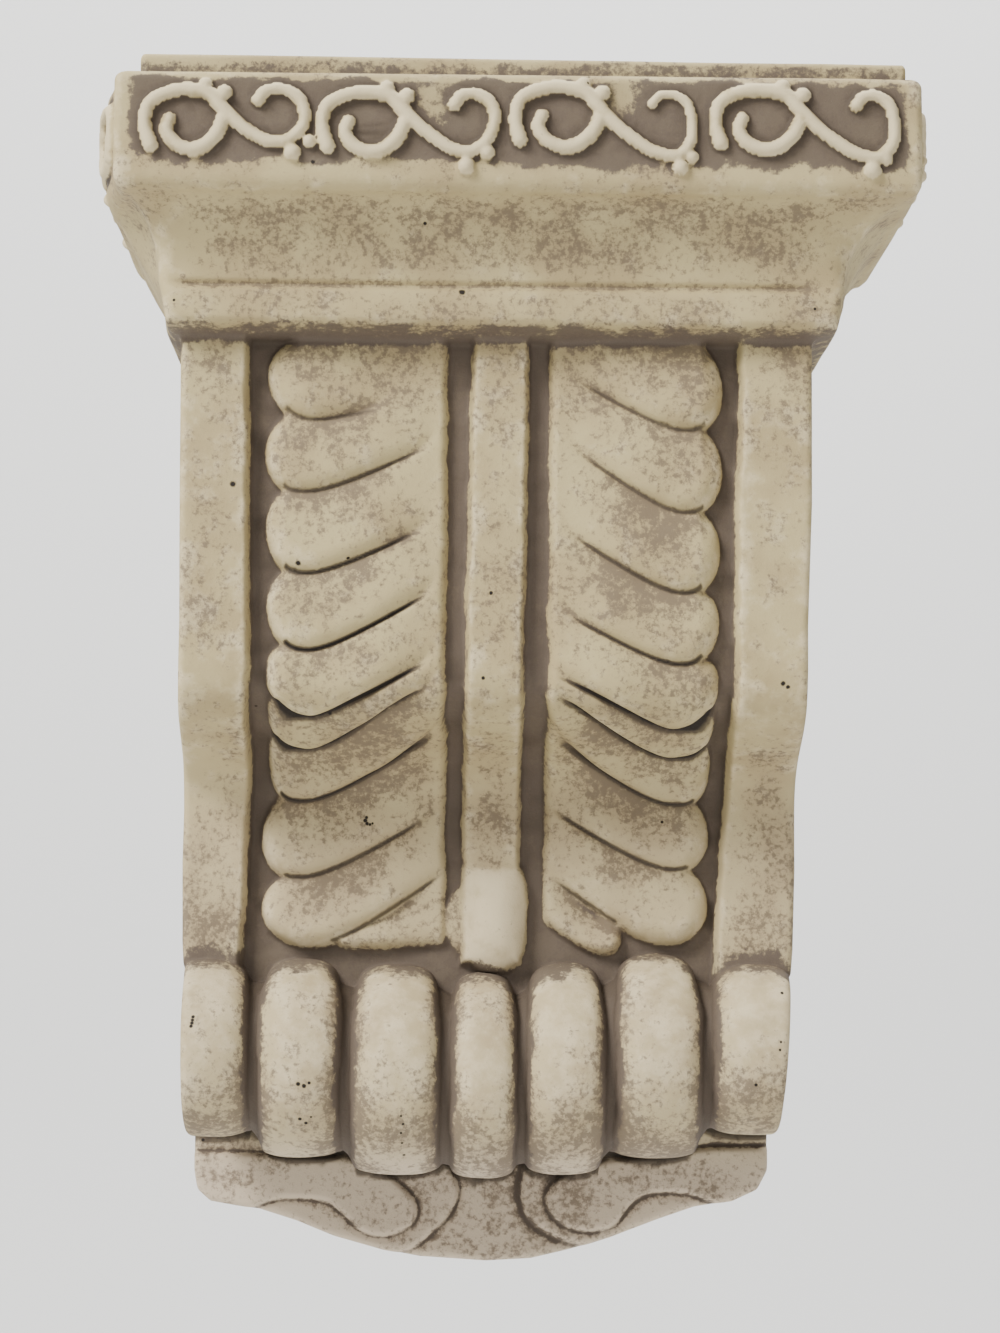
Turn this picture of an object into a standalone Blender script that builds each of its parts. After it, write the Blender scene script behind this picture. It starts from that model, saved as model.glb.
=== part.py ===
"""A cast plaster corbel: moulded top with a scroll frieze, leaf panels, a roll of reeds and a tail.

The back lies in the plane y = 0 against the wall and the corbel projects towards -Y.
The origin is at the middle of the back, half way up.  All lengths are in metres.
"""
import bisect
import math

import bmesh
import bpy
from mathutils import Matrix

# Driving dimensions of the whole
TOTAL_HEIGHT = 0.300
BODY_WIDTH = 0.1545
BODY_DEPTH = 0.0845
WAIST_DEPTH = 0.0465

# Moulded top, from the top down
TOP_FILLET_HEIGHT = 0.005
TOP_FILLET_SETBACK = 0.0055
ABACUS_HEIGHT = 0.0295
ABACUS_OVERHANG = 0.0211
ABACUS_OFF_CENTRE = 0.0048
COVE_HEIGHT = 0.0200
COVE_SQUARENESS = 2.6
BEAD_HEIGHT = 0.0115
BEAD_OVERHANG = 0.0060
BEAD_SWELL = 0.0022
TOP_CORNER_RADIUS = 0.0038
TOP_EDGE_RADIUS = 0.0030
SIDE_DRAFT = 0.0022

# The front face turns back towards the wall at the waist
TURN_BELOW_MIDDLE = 0.0165
TURN_LENGTH = 0.0078
FACE_TURN = 9

# Fillets, rib and leaf panels on the front face
CHANNEL_DEPTH = 0.0062
FILLET_WIDTH = 0.0165
RIB_WIDTH = 0.0150
RIB_SINK = 0.0008
PANEL_INNER = 0.0122
PANEL_OUTER = 0.0475
PANEL_RISE = 0.0036
PANEL_END_GAP = 0.0045
SOFT_EDGE = 0.0018

# Leaf lobes, counted from the top on each side
LOBE_COUNT = 9
LOBE_PITCH = 0.0187
FIRST_LOBE_DROP = 0.0226
LOBE_TIP = 0.0568
LOBE_RADIUS = 0.0102
LOBE_SWEEP = 0.0125
LOBE_RISE = 0.0056
LOBE_LAP = 0.0022
LOBE_SINK = 0.0040
LOBE_ROOT_WIDTH = 0.82
LOBE_ROOT_RISE = 0.45
RIGHT_LOBES_LOWER = 0.0040

# Bud that ends the rib
BUD_WIDTH = 0.0165
BUD_HEIGHT = 0.0285
BUD_RISE = 0.0050
BUD_BELOW_MIDDLE = 0.0600

# Roll of reeds
ROLL_TOP_BELOW_MIDDLE = 0.0705
ROLL_FRONT_DEPTH = 0.0640
MIDDLE_REED_LENGTH = 0.0555
OUTER_REED_LENGTH = 0.0450
MIDDLE_REED_WIDTH = 0.0162
REED_WIDTHS_OUTWARD = (0.0230, 0.0220, 0.0180)
REED_GAP = 0.0015
REED_GROOVE = 0.0080
REED_STEPS = 18

# Scrolled tail: its hooks and pads are placed from the middle line and from the lowest point
TAIL_WIDTH = 0.1525
TAIL_DEPTH = 0.0110
TAIL_BOW = 0.0156
TAIL_FLAT_HALF = 0.0640
TAIL_CORNER_RADIUS = 0.0085
TAIL_TUCK = 0.7
SCROLL_RISE = 0.0030
HOOK_X = 0.0235
HOOK_UP = 0.0215
HOOK_WIDTH = 0.0310
HOOK_HEIGHT = 0.0330
PAD_RISE = 0.0022
PAD_INSET = 0.0029
PAD_DROP_X = 0.0265
PAD_DROP_UP = 0.0205
PAD_DROP_WIDTH = 0.0220
PAD_DROP_HEIGHT = 0.0244
PAD_TONGUE_UP = 0.0180

# Scroll frieze
STEM_RADIUS = 0.0018
STEM_RISE = 0.0026
BUD_OFFSET = 0.0026
FRIEZE_END_MARGIN = 0.0050
MOTIF_GAP = 0.0028
FIRST_MOTIF_SHARE = 0.88
FRONT_MOTIFS = 4
SIDE_MOTIFS = 2

# One scroll motif, as shares of its width
LEFT_LOOP_SHARE = 0.235
LEFT_CURL_SHARE = 0.200
RIGHT_LOOP_SHARE = 0.270
RIGHT_LIFT_SHARE = 0.040
RIGHT_CURL_SHARE = 0.185
BRANCH_SHARE = 0.175
BRANCH_CURL_SHARE = 0.155
LOOP_FLATNESS = 0.9

# Everything is made a little too deep and cut flat at the wall, and hidden ends are
# staggered so that no two of them lie in one plane
WALL_ALLOWANCE = 0.003
STAGGER = 0.0004
WELD = 1e-6
FLAT = 0.7
BEVEL_FROM = 50

PLASTER_COLOUR = (0.62, 0.56, 0.45, 1.0)
PLASTER_ROUGHNESS = 0.8

# Heights measured from the middle of the back
Z_TOP = TOTAL_HEIGHT / 2
Z_ABACUS_TOP = Z_TOP - TOP_FILLET_HEIGHT
Z_ABACUS_BOTTOM = Z_ABACUS_TOP - ABACUS_HEIGHT
Z_BEAD_TOP = Z_ABACUS_BOTTOM - COVE_HEIGHT
Z_BEAD_BOTTOM = Z_BEAD_TOP - BEAD_HEIGHT
Z_ROLL_TOP = -ROLL_TOP_BELOW_MIDDLE
Z_BOTTOM = -TOTAL_HEIGHT / 2


def clear_scene():
    for old in list(bpy.data.objects):
        bpy.data.objects.remove(old, do_unlink=True)


def new_collection(name):
    collection = bpy.data.collections.new(name)
    bpy.context.scene.collection.children.link(collection)
    return collection


def add_object(name, mesh, collection):
    thing = bpy.data.objects.new(name, mesh)
    collection.objects.link(thing)
    return thing


def mesh_from_bmesh(name, bm):
    bmesh.ops.recalc_face_normals(bm, faces=bm.faces)
    mesh = bpy.data.meshes.new(name)
    bm.to_mesh(mesh)
    bm.free()
    return mesh


def as_mesh(source, collection):
    """Turn a curve object, or a mesh object with modifiers, into a plain welded mesh object.

    Triangles that lie in one plane are merged, so that flat faces stay whole.
    """
    bpy.context.view_layer.update()
    evaluated = source.evaluated_get(bpy.context.evaluated_depsgraph_get())
    mesh = bpy.data.meshes.new_from_object(evaluated)
    bm = bmesh.new()
    bm.from_mesh(mesh)
    bmesh.ops.remove_doubles(bm, verts=bm.verts, dist=WELD)
    bmesh.ops.dissolve_limit(bm, angle_limit=math.radians(FLAT), verts=bm.verts, edges=bm.edges)
    bmesh.ops.recalc_face_normals(bm, faces=bm.faces)
    bm.to_mesh(mesh)
    bm.free()
    name = source.name
    place = source.matrix_world.copy()
    bpy.data.objects.remove(source, do_unlink=True)
    solid = add_object(name, mesh, collection)
    solid.matrix_world = place
    return solid


def plate(name, outline, thickness, place, collection, edge=0.0):
    """A flat closed outline given a thickness, its middle plane at place, with rounded edges."""
    curve = bpy.data.curves.new(name, "CURVE")
    curve.dimensions = "2D"
    curve.fill_mode = "BOTH"
    curve.extrude = thickness / 2
    spline = curve.splines.new("POLY")
    spline.points.add(len(outline) - 1)
    for point, (across, up) in zip(spline.points, outline):
        point.co = (across, up, 0, 1)
    spline.use_cyclic_u = True
    guide = add_object(name, curve, collection)
    guide.matrix_world = place
    solid = as_mesh(guide, collection)
    if edge > 0:
        bevel = solid.modifiers.new("soft edge", "BEVEL")
        bevel.width = edge
        bevel.segments = 1
        bevel.limit_method = "ANGLE"
        bevel.angle_limit = math.radians(BEVEL_FROM)
        solid = as_mesh(solid, collection)
    return solid


def facing_front(depth):
    """Place for a plate drawn in x and z that stands depth in front of the wall."""
    return Matrix.Translation((0, -depth, 0)) @ Matrix.Rotation(math.radians(90), 4, "X")


def facing_side(x):
    """Place for a plate drawn in depth and z, seen from the side, at x."""
    turn = Matrix(((0, 0, -1, 0), (-1, 0, 0, 0), (0, 1, 0, 0), (0, 0, 0, 1)))
    return Matrix.Translation((x, 0, 0)) @ turn


def loft(name, rings, collection):
    """Skin a row of closed rings that have the same number of points, and cap both ends."""
    bm = bmesh.new()
    loops = [[bm.verts.new(point) for point in ring] for ring in rings]
    count = len(rings[0])
    for near, far in zip(loops, loops[1:]):
        for k in range(count):
            after = (k + 1) % count
            bm.faces.new((near[k], near[after], far[after], far[k]))
    bm.faces.new(list(reversed(loops[0])))
    bm.faces.new(loops[-1])
    return add_object(name, mesh_from_bmesh(name, bm), collection)


def tube(name, points, radii, collection):
    """A round stem along a path, its radius given at each point."""
    curve = bpy.data.curves.new(name, "CURVE")
    curve.dimensions = "3D"
    curve.bevel_depth = 1.0
    curve.bevel_resolution = 1
    curve.use_fill_caps = True
    spline = curve.splines.new("POLY")
    spline.points.add(len(points) - 1)
    for point, where, radius in zip(spline.points, points, radii):
        point.co = (*where, 1)
        point.radius = radius
    guide = add_object(name, curve, collection)
    return as_mesh(guide, collection)


def turned(name, profile, place, steps, collection):
    """A turned solid: the profile's points, (radius, height) from top to bottom, swept round."""
    bm = bmesh.new()
    row = [bm.verts.new((radius, 0, height)) for radius, height in profile]
    for above, below in zip(row, row[1:]):
        bm.edges.new((above, below))
    mesh = bpy.data.meshes.new(name)
    bm.to_mesh(mesh)
    bm.free()
    solid = add_object(name, mesh, collection)
    solid.matrix_world = place
    screw = solid.modifiers.new("turn", "SCREW")
    screw.steps = steps
    screw.render_steps = steps
    screw.use_merge_vertices = True
    screw.merge_threshold = 1e-5
    return as_mesh(solid, collection)


def ball(name, centre, radii, collection, detail):
    """An ellipsoid of small triangles, finer with more detail."""
    bm = bmesh.new()
    bmesh.ops.create_icosphere(bm, subdivisions=detail, radius=1)
    size = Matrix.Diagonal((*radii, 1))
    bmesh.ops.transform(bm, matrix=Matrix.Translation(centre) @ size, verts=bm.verts)
    return add_object(name, mesh_from_bmesh(name, bm), collection)


def gather(name, things, collection):
    """Put things that do not touch each other into one object, so that they are joined in one go."""
    bm = bmesh.new()
    for thing in things:
        mesh = thing.data.copy()
        mesh.transform(thing.matrix_world)
        bm.from_mesh(mesh)
        bpy.data.meshes.remove(mesh)
        bpy.data.objects.remove(thing, do_unlink=True)
    return add_object(name, mesh_from_bmesh(name, bm), collection)


def unite(base, pieces):
    """Join all pieces to base in one step."""
    joining = new_collection("pieces to join")
    for piece in pieces:
        joining.objects.link(piece)
    boolean = base.modifiers.new("join", "BOOLEAN")
    boolean.operation = "UNION"
    boolean.solver = "EXACT"
    boolean.operand_type = "COLLECTION"
    boolean.collection = joining


def cut(base, tool):
    """Cut base with tool."""
    boolean = base.modifiers.new("cut", "BOOLEAN")
    boolean.operation = "DIFFERENCE"
    boolean.solver = "EXACT"
    boolean.object = tool


def arc_points(centre, radii, start, end, steps):
    """Points on an ellipse in the plane, from one angle to another, in degrees."""
    points = []
    for k in range(steps + 1):
        angle = math.radians(start + (end - start) * k / steps)
        across = centre[0] + radii[0] * math.cos(angle)
        up = centre[1] + radii[1] * math.sin(angle)
        points.append((across, up))
    return points


def front_depth(z):
    """Depth of the fillets' front at height z: deep above, then turning back to the waist."""
    middle = (BODY_DEPTH + WAIST_DEPTH) / 2
    swing = (BODY_DEPTH - WAIST_DEPTH) / 2
    return middle + swing * math.tanh((z + TURN_BELOW_MIDDLE) / TURN_LENGTH)


class FrontFace:
    """The front face seen from the side, measured by its length down from the bead."""

    def __init__(self, z_start, z_end, steps):
        self.points = []
        for k in range(steps + 1):
            z = z_start + (z_end - z_start) * k / steps
            self.points.append((front_depth(z), z))
        self.lengths = [0.0]
        for (d0, z0), (d1, z1) in zip(self.points, self.points[1:]):
            self.lengths.append(self.lengths[-1] + math.hypot(d1 - d0, z1 - z0))

    def stations(self, first, last):
        """Lengths from first to last, one wherever the face has turned by another FACE_TURN."""
        chosen = [first]
        heading = None
        for k, length in enumerate(self.lengths[:-1]):
            if length <= first or length >= last:
                continue
            (d0, z0), (d1, z1) = self.points[k], self.points[k + 1]
            direction = math.atan2(d1 - d0, z0 - z1)
            if heading is None:
                heading = direction
            if abs(direction - heading) >= math.radians(FACE_TURN):
                chosen.append(length)
                heading = direction
        return chosen + [last]

    def at(self, length, rise):
        """Depth and height of the point at a length down the face, raised off it by rise."""
        last = len(self.lengths) - 2
        k = min(max(bisect.bisect_right(self.lengths, length) - 1, 0), last)
        span = self.lengths[k + 1] - self.lengths[k]
        share = (length - self.lengths[k]) / span
        (d0, z0), (d1, z1) = self.points[k], self.points[k + 1]
        out_d, out_z = (z0 - z1) / span, (d1 - d0) / span
        depth = d0 + (d1 - d0) * share + out_d * rise
        height = z0 + (z1 - z0) * share + out_z * rise
        return depth, height

    def length_at(self, z):
        """Length down the face at height z."""
        heights = [-point[1] for point in self.points]
        k = min(max(bisect.bisect_right(heights, -z) - 1, 0), len(heights) - 2)
        share = (-z - heights[k]) / (heights[k + 1] - heights[k])
        return self.lengths[k] + (self.lengths[k + 1] - self.lengths[k]) * share


def roll_circle(groove):
    """Middle (depth, z) and radius of the roll seen from the side, at the bottom of a groove."""
    outer = OUTER_REED_LENGTH / 2
    return ROLL_FRONT_DEPTH - outer, Z_ROLL_TOP - outer, outer - groove


def body_outline(face, rise, groove, layer):
    """Side outline of the body: down the face, raised by rise, and round the front of the roll."""
    middle_depth, middle_z, radius = roll_circle(groove)
    waist = WAIST_DEPTH + rise - middle_depth
    meeting = math.acos(max(-1.0, min(1.0, waist / radius)))
    z_meeting = middle_z + radius * math.sin(meeting)
    hidden = STAGGER * layer
    first = face.length_at(Z_BEAD_BOTTOM + BEAD_HEIGHT / 2 - hidden)
    lengths = face.stations(first, face.length_at(z_meeting))
    front = [face.at(length, rise) for length in lengths[:-1]]
    roll = arc_points((middle_depth, middle_z), (radius, radius), math.degrees(meeting), -90, 8)
    back = hidden - WALL_ALLOWANCE
    return [(back, front[0][1])] + front + roll + [(back, roll[-1][1])]


def panel_outline(face, rise, layer):
    """Side outline of a leaf panel: down the face to just above the roll, then back into the body."""
    hidden = STAGGER * layer
    first = face.length_at(Z_BEAD_BOTTOM + BEAD_HEIGHT / 2 - hidden)
    lengths = face.stations(first, face.length_at(Z_ROLL_TOP + PANEL_END_GAP))
    front = [face.at(length, rise) for length in lengths]
    back = WAIST_DEPTH / 2
    return [(back, front[0][1])] + front + [(back, front[-1][1])]


def strip(name, outline, x_from, x_to, collection, edge=0.0):
    """A strip of the body between two x, with a side outline of its own."""
    middle = (x_from + x_to) / 2
    return plate(name, outline, abs(x_to - x_from), facing_side(middle), collection, edge)


def reed_layout():
    """Middle x, width, top and bottom of each reed, from left to right."""
    reeds = [(0.0, MIDDLE_REED_WIDTH)]
    edge = MIDDLE_REED_WIDTH / 2
    for width in REED_WIDTHS_OUTWARD:
        x = edge + REED_GAP + width / 2
        reeds = [(-x, width)] + reeds + [(x, width)]
        edge = x + width / 2
    outermost = reeds[-1][0]
    rows = []
    for x, width in reeds:
        share = (x / outermost) ** 2
        length = MIDDLE_REED_LENGTH + (OUTER_REED_LENGTH - MIDDLE_REED_LENGTH) * share
        rows.append((x, width, Z_ROLL_TOP, Z_ROLL_TOP - length))
    return rows


def make_reeds(collection):
    """Each reed is a thick disc with a round rim, standing on edge and sunk in the body."""
    reeds = []
    for x, width, top, bottom in reed_layout():
        outer = (top - bottom) / 2
        rim = arc_points((outer - width / 2, 0), (width / 2, width / 2), 90, -90, 4)
        profile = [(0.0, width / 2)] + rim + [(0.0, -width / 2)]
        turn = Matrix.Rotation(math.radians(90), 4, "Y")
        place = Matrix.Translation((x, outer - ROLL_FRONT_DEPTH, (top + bottom) / 2)) @ turn
        reeds.append(turned("reed", profile, place, REED_STEPS, collection))
    return gather("reeds", reeds, collection)


def make_lobe(face, side, index, collection):
    """One leaf lobe, laid on the face: round at its tip, lapping over the lobe below it."""
    lower = RIGHT_LOBES_LOWER * (1 - index / (LOBE_COUNT - 2)) if side > 0 else 0.0
    lowest = face.length_at(Z_BEAD_BOTTOM) + FIRST_LOBE_DROP + LOBE_PITCH * index + lower
    tip_centre = LOBE_TIP - LOBE_RADIUS
    inner = PANEL_INNER + SOFT_EDGE + STAGGER * index
    reach = tip_centre - inner
    steps = 4
    stations = [inner + reach * k / steps for k in range(steps + 1)]
    sizes = [LOBE_ROOT_WIDTH + (1 - LOBE_ROOT_WIDTH) * k / steps for k in range(steps + 1)]
    for angle in (35, 62, 82):
        stations.append(tip_centre + LOBE_RADIUS * math.sin(math.radians(angle)))
        sizes.append(math.cos(math.radians(angle)))
    rings = []
    ring_count = 10
    for x, size in zip(stations, sizes):
        inward = max(0.0, (tip_centre - x) / reach)
        middle = lowest - LOBE_RADIUS - LOBE_SWEEP * inward ** 2
        fullness = LOBE_ROOT_RISE + (1 - LOBE_ROOT_RISE) * min(1.0, 1.6 * (1 - inward))
        height = LOBE_RISE * fullness * min(1.0, 1.5 * size)
        ring = []
        for k in range(ring_count):
            angle = 2 * math.pi * k / ring_count
            along = LOBE_RADIUS * size * math.cos(angle)
            rise = height * math.sin(angle) + LOBE_LAP * math.cos(angle) - LOBE_SINK
            depth, z = face.at(middle + along, rise)
            ring.append((side * x, -depth, z))
        rings.append(ring)
    return loft("lobe", rings, collection)


def make_crown(collection):
    """Top fillet, abacus, cove and bead: one moulding that returns along both sides."""
    abacus = ABACUS_OVERHANG
    fillet = abacus - TOP_FILLET_SETBACK
    edge = TOP_EDGE_RADIUS
    small = edge / 3
    levels = [(Z_TOP, fillet - small), (Z_TOP - small, fillet), (Z_ABACUS_TOP, fillet)]
    for out, up in arc_points((abacus - edge, Z_ABACUS_TOP - edge - STAGGER), (edge, edge), 90, 0, 3):
        levels.append((up, out))
    under = abacus - edge / 2
    levels += [(Z_ABACUS_BOTTOM + edge / 2, abacus), (Z_ABACUS_BOTTOM, under)]
    steps = 6
    power = COVE_SQUARENESS
    for k in range(1, steps + 1):
        up = math.cos(math.pi / 2 * k / steps)
        hollow = 1 - (1 - up ** power) ** (1 / power)
        levels.append((Z_BEAD_TOP + COVE_HEIGHT * up, BEAD_OVERHANG + (under - BEAD_OVERHANG) * hollow))
    groove = BEAD_OVERHANG - small
    half = BEAD_HEIGHT / 2
    for out, up in arc_points((groove, Z_BEAD_TOP - half), (BEAD_SWELL, half), 65, -65, 5):
        levels.append((up, out))
    levels.append((Z_BEAD_BOTTOM, groove - small))
    levels.append((Z_BEAD_BOTTOM - STAGGER, -2 * CHANNEL_DEPTH))
    rings = []
    behind = WALL_ALLOWANCE - 5 * STAGGER
    for z, out in levels:
        sideways = ABACUS_OFF_CENTRE * max(0.0, (out - BEAD_OVERHANG) / (abacus - BEAD_OVERHANG))
        left = -(BODY_WIDTH / 2 + out) + sideways
        right = BODY_WIDTH / 2 + out + sideways
        front = -(BODY_DEPTH + out)
        corner = TOP_CORNER_RADIUS
        plan = [(left - SIDE_DRAFT, behind)]
        plan += arc_points((left + corner, front + corner), (corner, corner), 180, 270, 3)
        plan += arc_points((right - corner, front + corner), (corner, corner), 270, 360, 3)
        plan.append((right + SIDE_DRAFT, behind))
        rings.append([(x, y, z) for x, y in plan])
    return loft("crown", rings, collection)


def motif_loop(x, up, radius, start, end, steps):
    """Part of a loop of the scroll motif, on a unit width."""
    return arc_points((x, up), (radius, radius * LOOP_FLATNESS), start, end, steps)


def motif_stems():
    """The scroll motif on a unit width: (path, share of the stem's radius at each end) by stem."""
    left = motif_loop(-LEFT_LOOP_SHARE, 0, LEFT_CURL_SHARE, 225, 30, 6)
    right = motif_loop(RIGHT_LOOP_SHARE, RIGHT_LIFT_SHARE, RIGHT_CURL_SHARE, 215, 500, 8)
    branch = motif_loop(-BRANCH_SHARE, 0, BRANCH_CURL_SHARE, -5, -200, 5)
    return [(left + right, 0.9, 0.75), (branch, 0.8, 0.8)]


def motif_buds(offset):
    """Middles of the buds on the unit motif, offset from the stems: two above, two below."""
    above = motif_loop(-LEFT_LOOP_SHARE, 0, LEFT_CURL_SHARE + offset, 60, 34, 1)
    below = motif_loop(RIGHT_LOOP_SHARE, RIGHT_LIFT_SHARE, RIGHT_CURL_SHARE + offset, -64, -35, 1)
    return above + below


def frieze_places():
    """Where each motif goes: a function of its own plane, its middle and its width."""
    z_middle = (Z_ABACUS_TOP + Z_ABACUS_BOTTOM) / 2 + STEM_RADIUS
    sink = STEM_RADIUS - STEM_RISE
    half_front = BODY_WIDTH / 2 + ABACUS_OVERHANG
    front = -(BODY_DEPTH + ABACUS_OVERHANG) + sink
    length = 2 * (half_front - FRIEZE_END_MARGIN)
    shares = [FIRST_MOTIF_SHARE] + [1] * (FRONT_MOTIFS - 1)
    unit = length / sum(shares)
    places = []
    x = ABACUS_OFF_CENTRE - length / 2
    for share in shares:
        width = unit * share
        places.append(((x + width / 2, front, z_middle), (1, 0, 0), width - MOTIF_GAP))
        x += width
    depth = BODY_DEPTH + ABACUS_OVERHANG
    side_unit = (depth - 2 * FRIEZE_END_MARGIN) / SIDE_MOTIFS
    for side in (-1, 1):
        for k in range(SIDE_MOTIFS):
            y = -FRIEZE_END_MARGIN - side_unit * (k + 0.5)
            share_back = 1 + y / depth
            x = side * (half_front + SIDE_DRAFT * share_back - sink) + ABACUS_OFF_CENTRE
            along = (SIDE_DRAFT / depth, side, 0)
            places.append(((x, y, z_middle), along, side_unit - MOTIF_GAP))
    return places


def make_frieze(collection):
    """All motifs, as three groups whose members do not touch: long stems, branches and buds."""
    groups = [[], [], []]
    for centre, along, width in frieze_places():
        def spot(u, v):
            return tuple(c + a * u * width for c, a in zip(centre, along[:2])) + (centre[2] + v * width,)
        for group, (path, first, last) in zip(groups, motif_stems()):
            points = [spot(u, v) for u, v in path]
            count = len(points) - 1
            radii = []
            for k in range(count + 1):
                swell = math.sin(math.pi * k / count) ** 0.5
                ends = first + (last - first) * k / count
                radii.append(STEM_RADIUS * (ends + (1 - ends) * swell))
            group.append(tube("stem", points, radii, collection))
        for u, v in motif_buds(BUD_OFFSET / width):
            groups[2].append(ball("bud", spot(u, v), (STEM_RADIUS,) * 3, collection, 1))
    return [gather("frieze", group, collection) for group in groups]


def tail_edge(x):
    """Height of the tail's lower edge at x."""
    return Z_BOTTOM + TAIL_BOW * min(1.0, abs(x) / TAIL_FLAT_HALF) ** 2


def make_tail(collection):
    """The tail plate and, on each side, a scroll and a pad that stand off it in steps."""
    top = Z_ROLL_TOP - OUTER_REED_LENGTH * TAIL_TUCK
    half = TAIL_WIDTH / 2
    corner = tail_corner(0)
    across = half - TAIL_CORNER_RADIUS
    lower = [(x, tail_edge(x)) for x in (across * (1 - k / 8) for k in range(1, 16))]
    other_corner = [(-x, z) for x, z in reversed(corner)]
    outline = [(-half, top), (half, top)] + corner + lower + other_corner
    behind = WALL_ALLOWANCE - 4 * STAGGER
    thickness = TAIL_DEPTH + behind
    middle = (TAIL_DEPTH - behind) / 2
    solids = [plate("tail", outline, thickness, facing_front(middle), collection, SOFT_EDGE)]
    scroll = scroll_outline(top)
    pad = pad_outline(top)
    for rise, outline in ((SCROLL_RISE, scroll), (SCROLL_RISE + PAD_RISE, pad)):
        pair = []
        for side in (-1, 1):
            shape = [(side * x, z) for x, z in outline]
            front = facing_front(TAIL_DEPTH + rise / 2 - SOFT_EDGE / 2)
            pair.append(plate("scroll", shape, rise + SOFT_EDGE, front, collection))
        solids.append(gather("scrolls", pair, collection))
    return solids


def tail_corner(inset):
    """Rounded lower right corner of the tail, or of a shape that lies inset from its edge."""
    half = TAIL_WIDTH / 2
    radius = TAIL_CORNER_RADIUS - inset
    middle = (half - TAIL_CORNER_RADIUS, tail_edge(half) + TAIL_CORNER_RADIUS)
    return arc_points(middle, (radius, radius), 0, -80, 4)


def scroll_outline(top):
    """Right-hand scroll: its inner side hooks round towards the middle, its edge is the tail's."""
    inset = SOFT_EDGE
    centre = (HOOK_X, Z_BOTTOM + HOOK_UP)
    hook = arc_points(centre, (HOOK_WIDTH / 2, HOOK_HEIGHT / 2), 115, 255, 8)
    first = HOOK_X + HOOK_WIDTH / 6
    last = TAIL_WIDTH / 2 - 1.5 * TAIL_CORNER_RADIUS
    steps = 4
    edge = []
    for k in range(steps + 1):
        x = first + (last - first) * k / steps
        edge.append((x, tail_edge(x) + inset))
    corner = list(reversed(tail_corner(inset)))
    hidden = top - STAGGER
    return [(corner[-1][0], hidden), (HOOK_X - HOOK_WIDTH / 5, hidden)] + hook + edge + corner


def pad_outline(top):
    """Right-hand pad inside the scroll: a drop by the middle and a tongue to the outer side."""
    centre = (PAD_DROP_X, Z_BOTTOM + PAD_DROP_UP)
    drop = arc_points(centre, (PAD_DROP_WIDTH / 2, PAD_DROP_HEIGHT / 2), 120, 330, 8)
    corner = list(reversed(tail_corner(PAD_INSET)))
    first = PAD_DROP_X + 0.7 * PAD_DROP_WIDTH
    last = TAIL_WIDTH / 2 - 1.5 * TAIL_CORNER_RADIUS
    tongue = [(x, Z_BOTTOM + PAD_TONGUE_UP) for x in (first, last)]
    hidden = top - 2 * STAGGER
    return [(corner[-1][0], hidden), (PAD_DROP_X - PAD_DROP_WIDTH / 4, hidden)] + drop + tongue + corner


def make_bud(face, collection):
    """The drop that ends the rib above the middle reed."""
    z = -BUD_BELOW_MIDDLE
    depth, _ = face.at(face.length_at(z), 0)
    radii = (BUD_WIDTH / 2, BUD_RISE + CHANNEL_DEPTH, BUD_HEIGHT / 2)
    return ball("bud", (0, CHANNEL_DEPTH - depth, z), radii, collection, 3)


def plaster():
    material = bpy.data.materials.new("plaster")
    material.use_nodes = True
    shader = material.node_tree.nodes["Principled BSDF"]
    shader.inputs["Base Color"].default_value = PLASTER_COLOUR
    shader.inputs["Roughness"].default_value = PLASTER_ROUGHNESS
    shader.inputs["Metallic"].default_value = 0.0
    return material


def build():
    clear_scene()
    parts = new_collection("corbel")
    work = new_collection("working pieces")
    face = FrontFace(Z_BEAD_TOP, Z_ROLL_TOP - OUTER_REED_LENGTH / 2, 240)
    half = BODY_WIDTH / 2
    inner = half - FILLET_WIDTH
    low = REED_GROOVE
    trunk = body_outline(face, -CHANNEL_DEPTH, low + STAGGER, 0)
    body = strip("corbel", trunk, SOFT_EDGE - half, half - SOFT_EDGE, work)
    side_outline = body_outline(face, 0.0, low, 1)
    leaf_outline = panel_outline(face, PANEL_RISE - CHANNEL_DEPTH, 2)
    rib_outline = body_outline(face, -RIB_SINK, low + 3 * STAGGER, 3)
    fillets = []
    panels = []
    for side in (-1, 1):
        fillets.append(strip("fillet", side_outline, side * inner, side * half, work, SOFT_EDGE))
        panels.append(strip("panel", leaf_outline, side * PANEL_INNER, side * PANEL_OUTER, work, SOFT_EDGE))
    joins = [gather("fillets", fillets, work), gather("panels", panels, work)]
    joins.append(strip("rib", rib_outline, -RIB_WIDTH / 2, RIB_WIDTH / 2, work, SOFT_EDGE))
    for parity in (0, 1):
        lobes = []
        for side in (-1, 1):
            for index in range(parity, LOBE_COUNT, 2):
                lobes.append(make_lobe(face, side, index, work))
        joins.append(gather("lobes", lobes, work))
    joins.append(make_bud(face, work))
    joins.append(make_reeds(work))
    joins += make_tail(work)
    joins.append(make_crown(work))
    joins += make_frieze(work)
    bpy.ops.mesh.primitive_cube_add(size=1, location=(0, 0.5, 0))
    wall = bpy.context.object
    unite(body, joins)
    cut(body, wall)
    body = as_mesh(body, parts)
    body.data.transform(body.matrix_world)
    body.matrix_world = Matrix.Identity(4)
    body.data.name = "corbel"
    body.data.materials.clear()
    body.data.materials.append(plaster())
    for piece in joins + [wall]:
        bpy.data.objects.remove(piece, do_unlink=True)
    return body


build()
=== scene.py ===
"""The dressed corbel: one fine mesh, worked out from named sizes, in place of the CAD solid.

Lengths are in millimetres until the mesh is made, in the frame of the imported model: the wall is
the plane y = 0, the corbel stands towards -Y, z = 0 is half way up and x = 0 is the middle.
"""
import math
from collections import namedtuple

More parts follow.
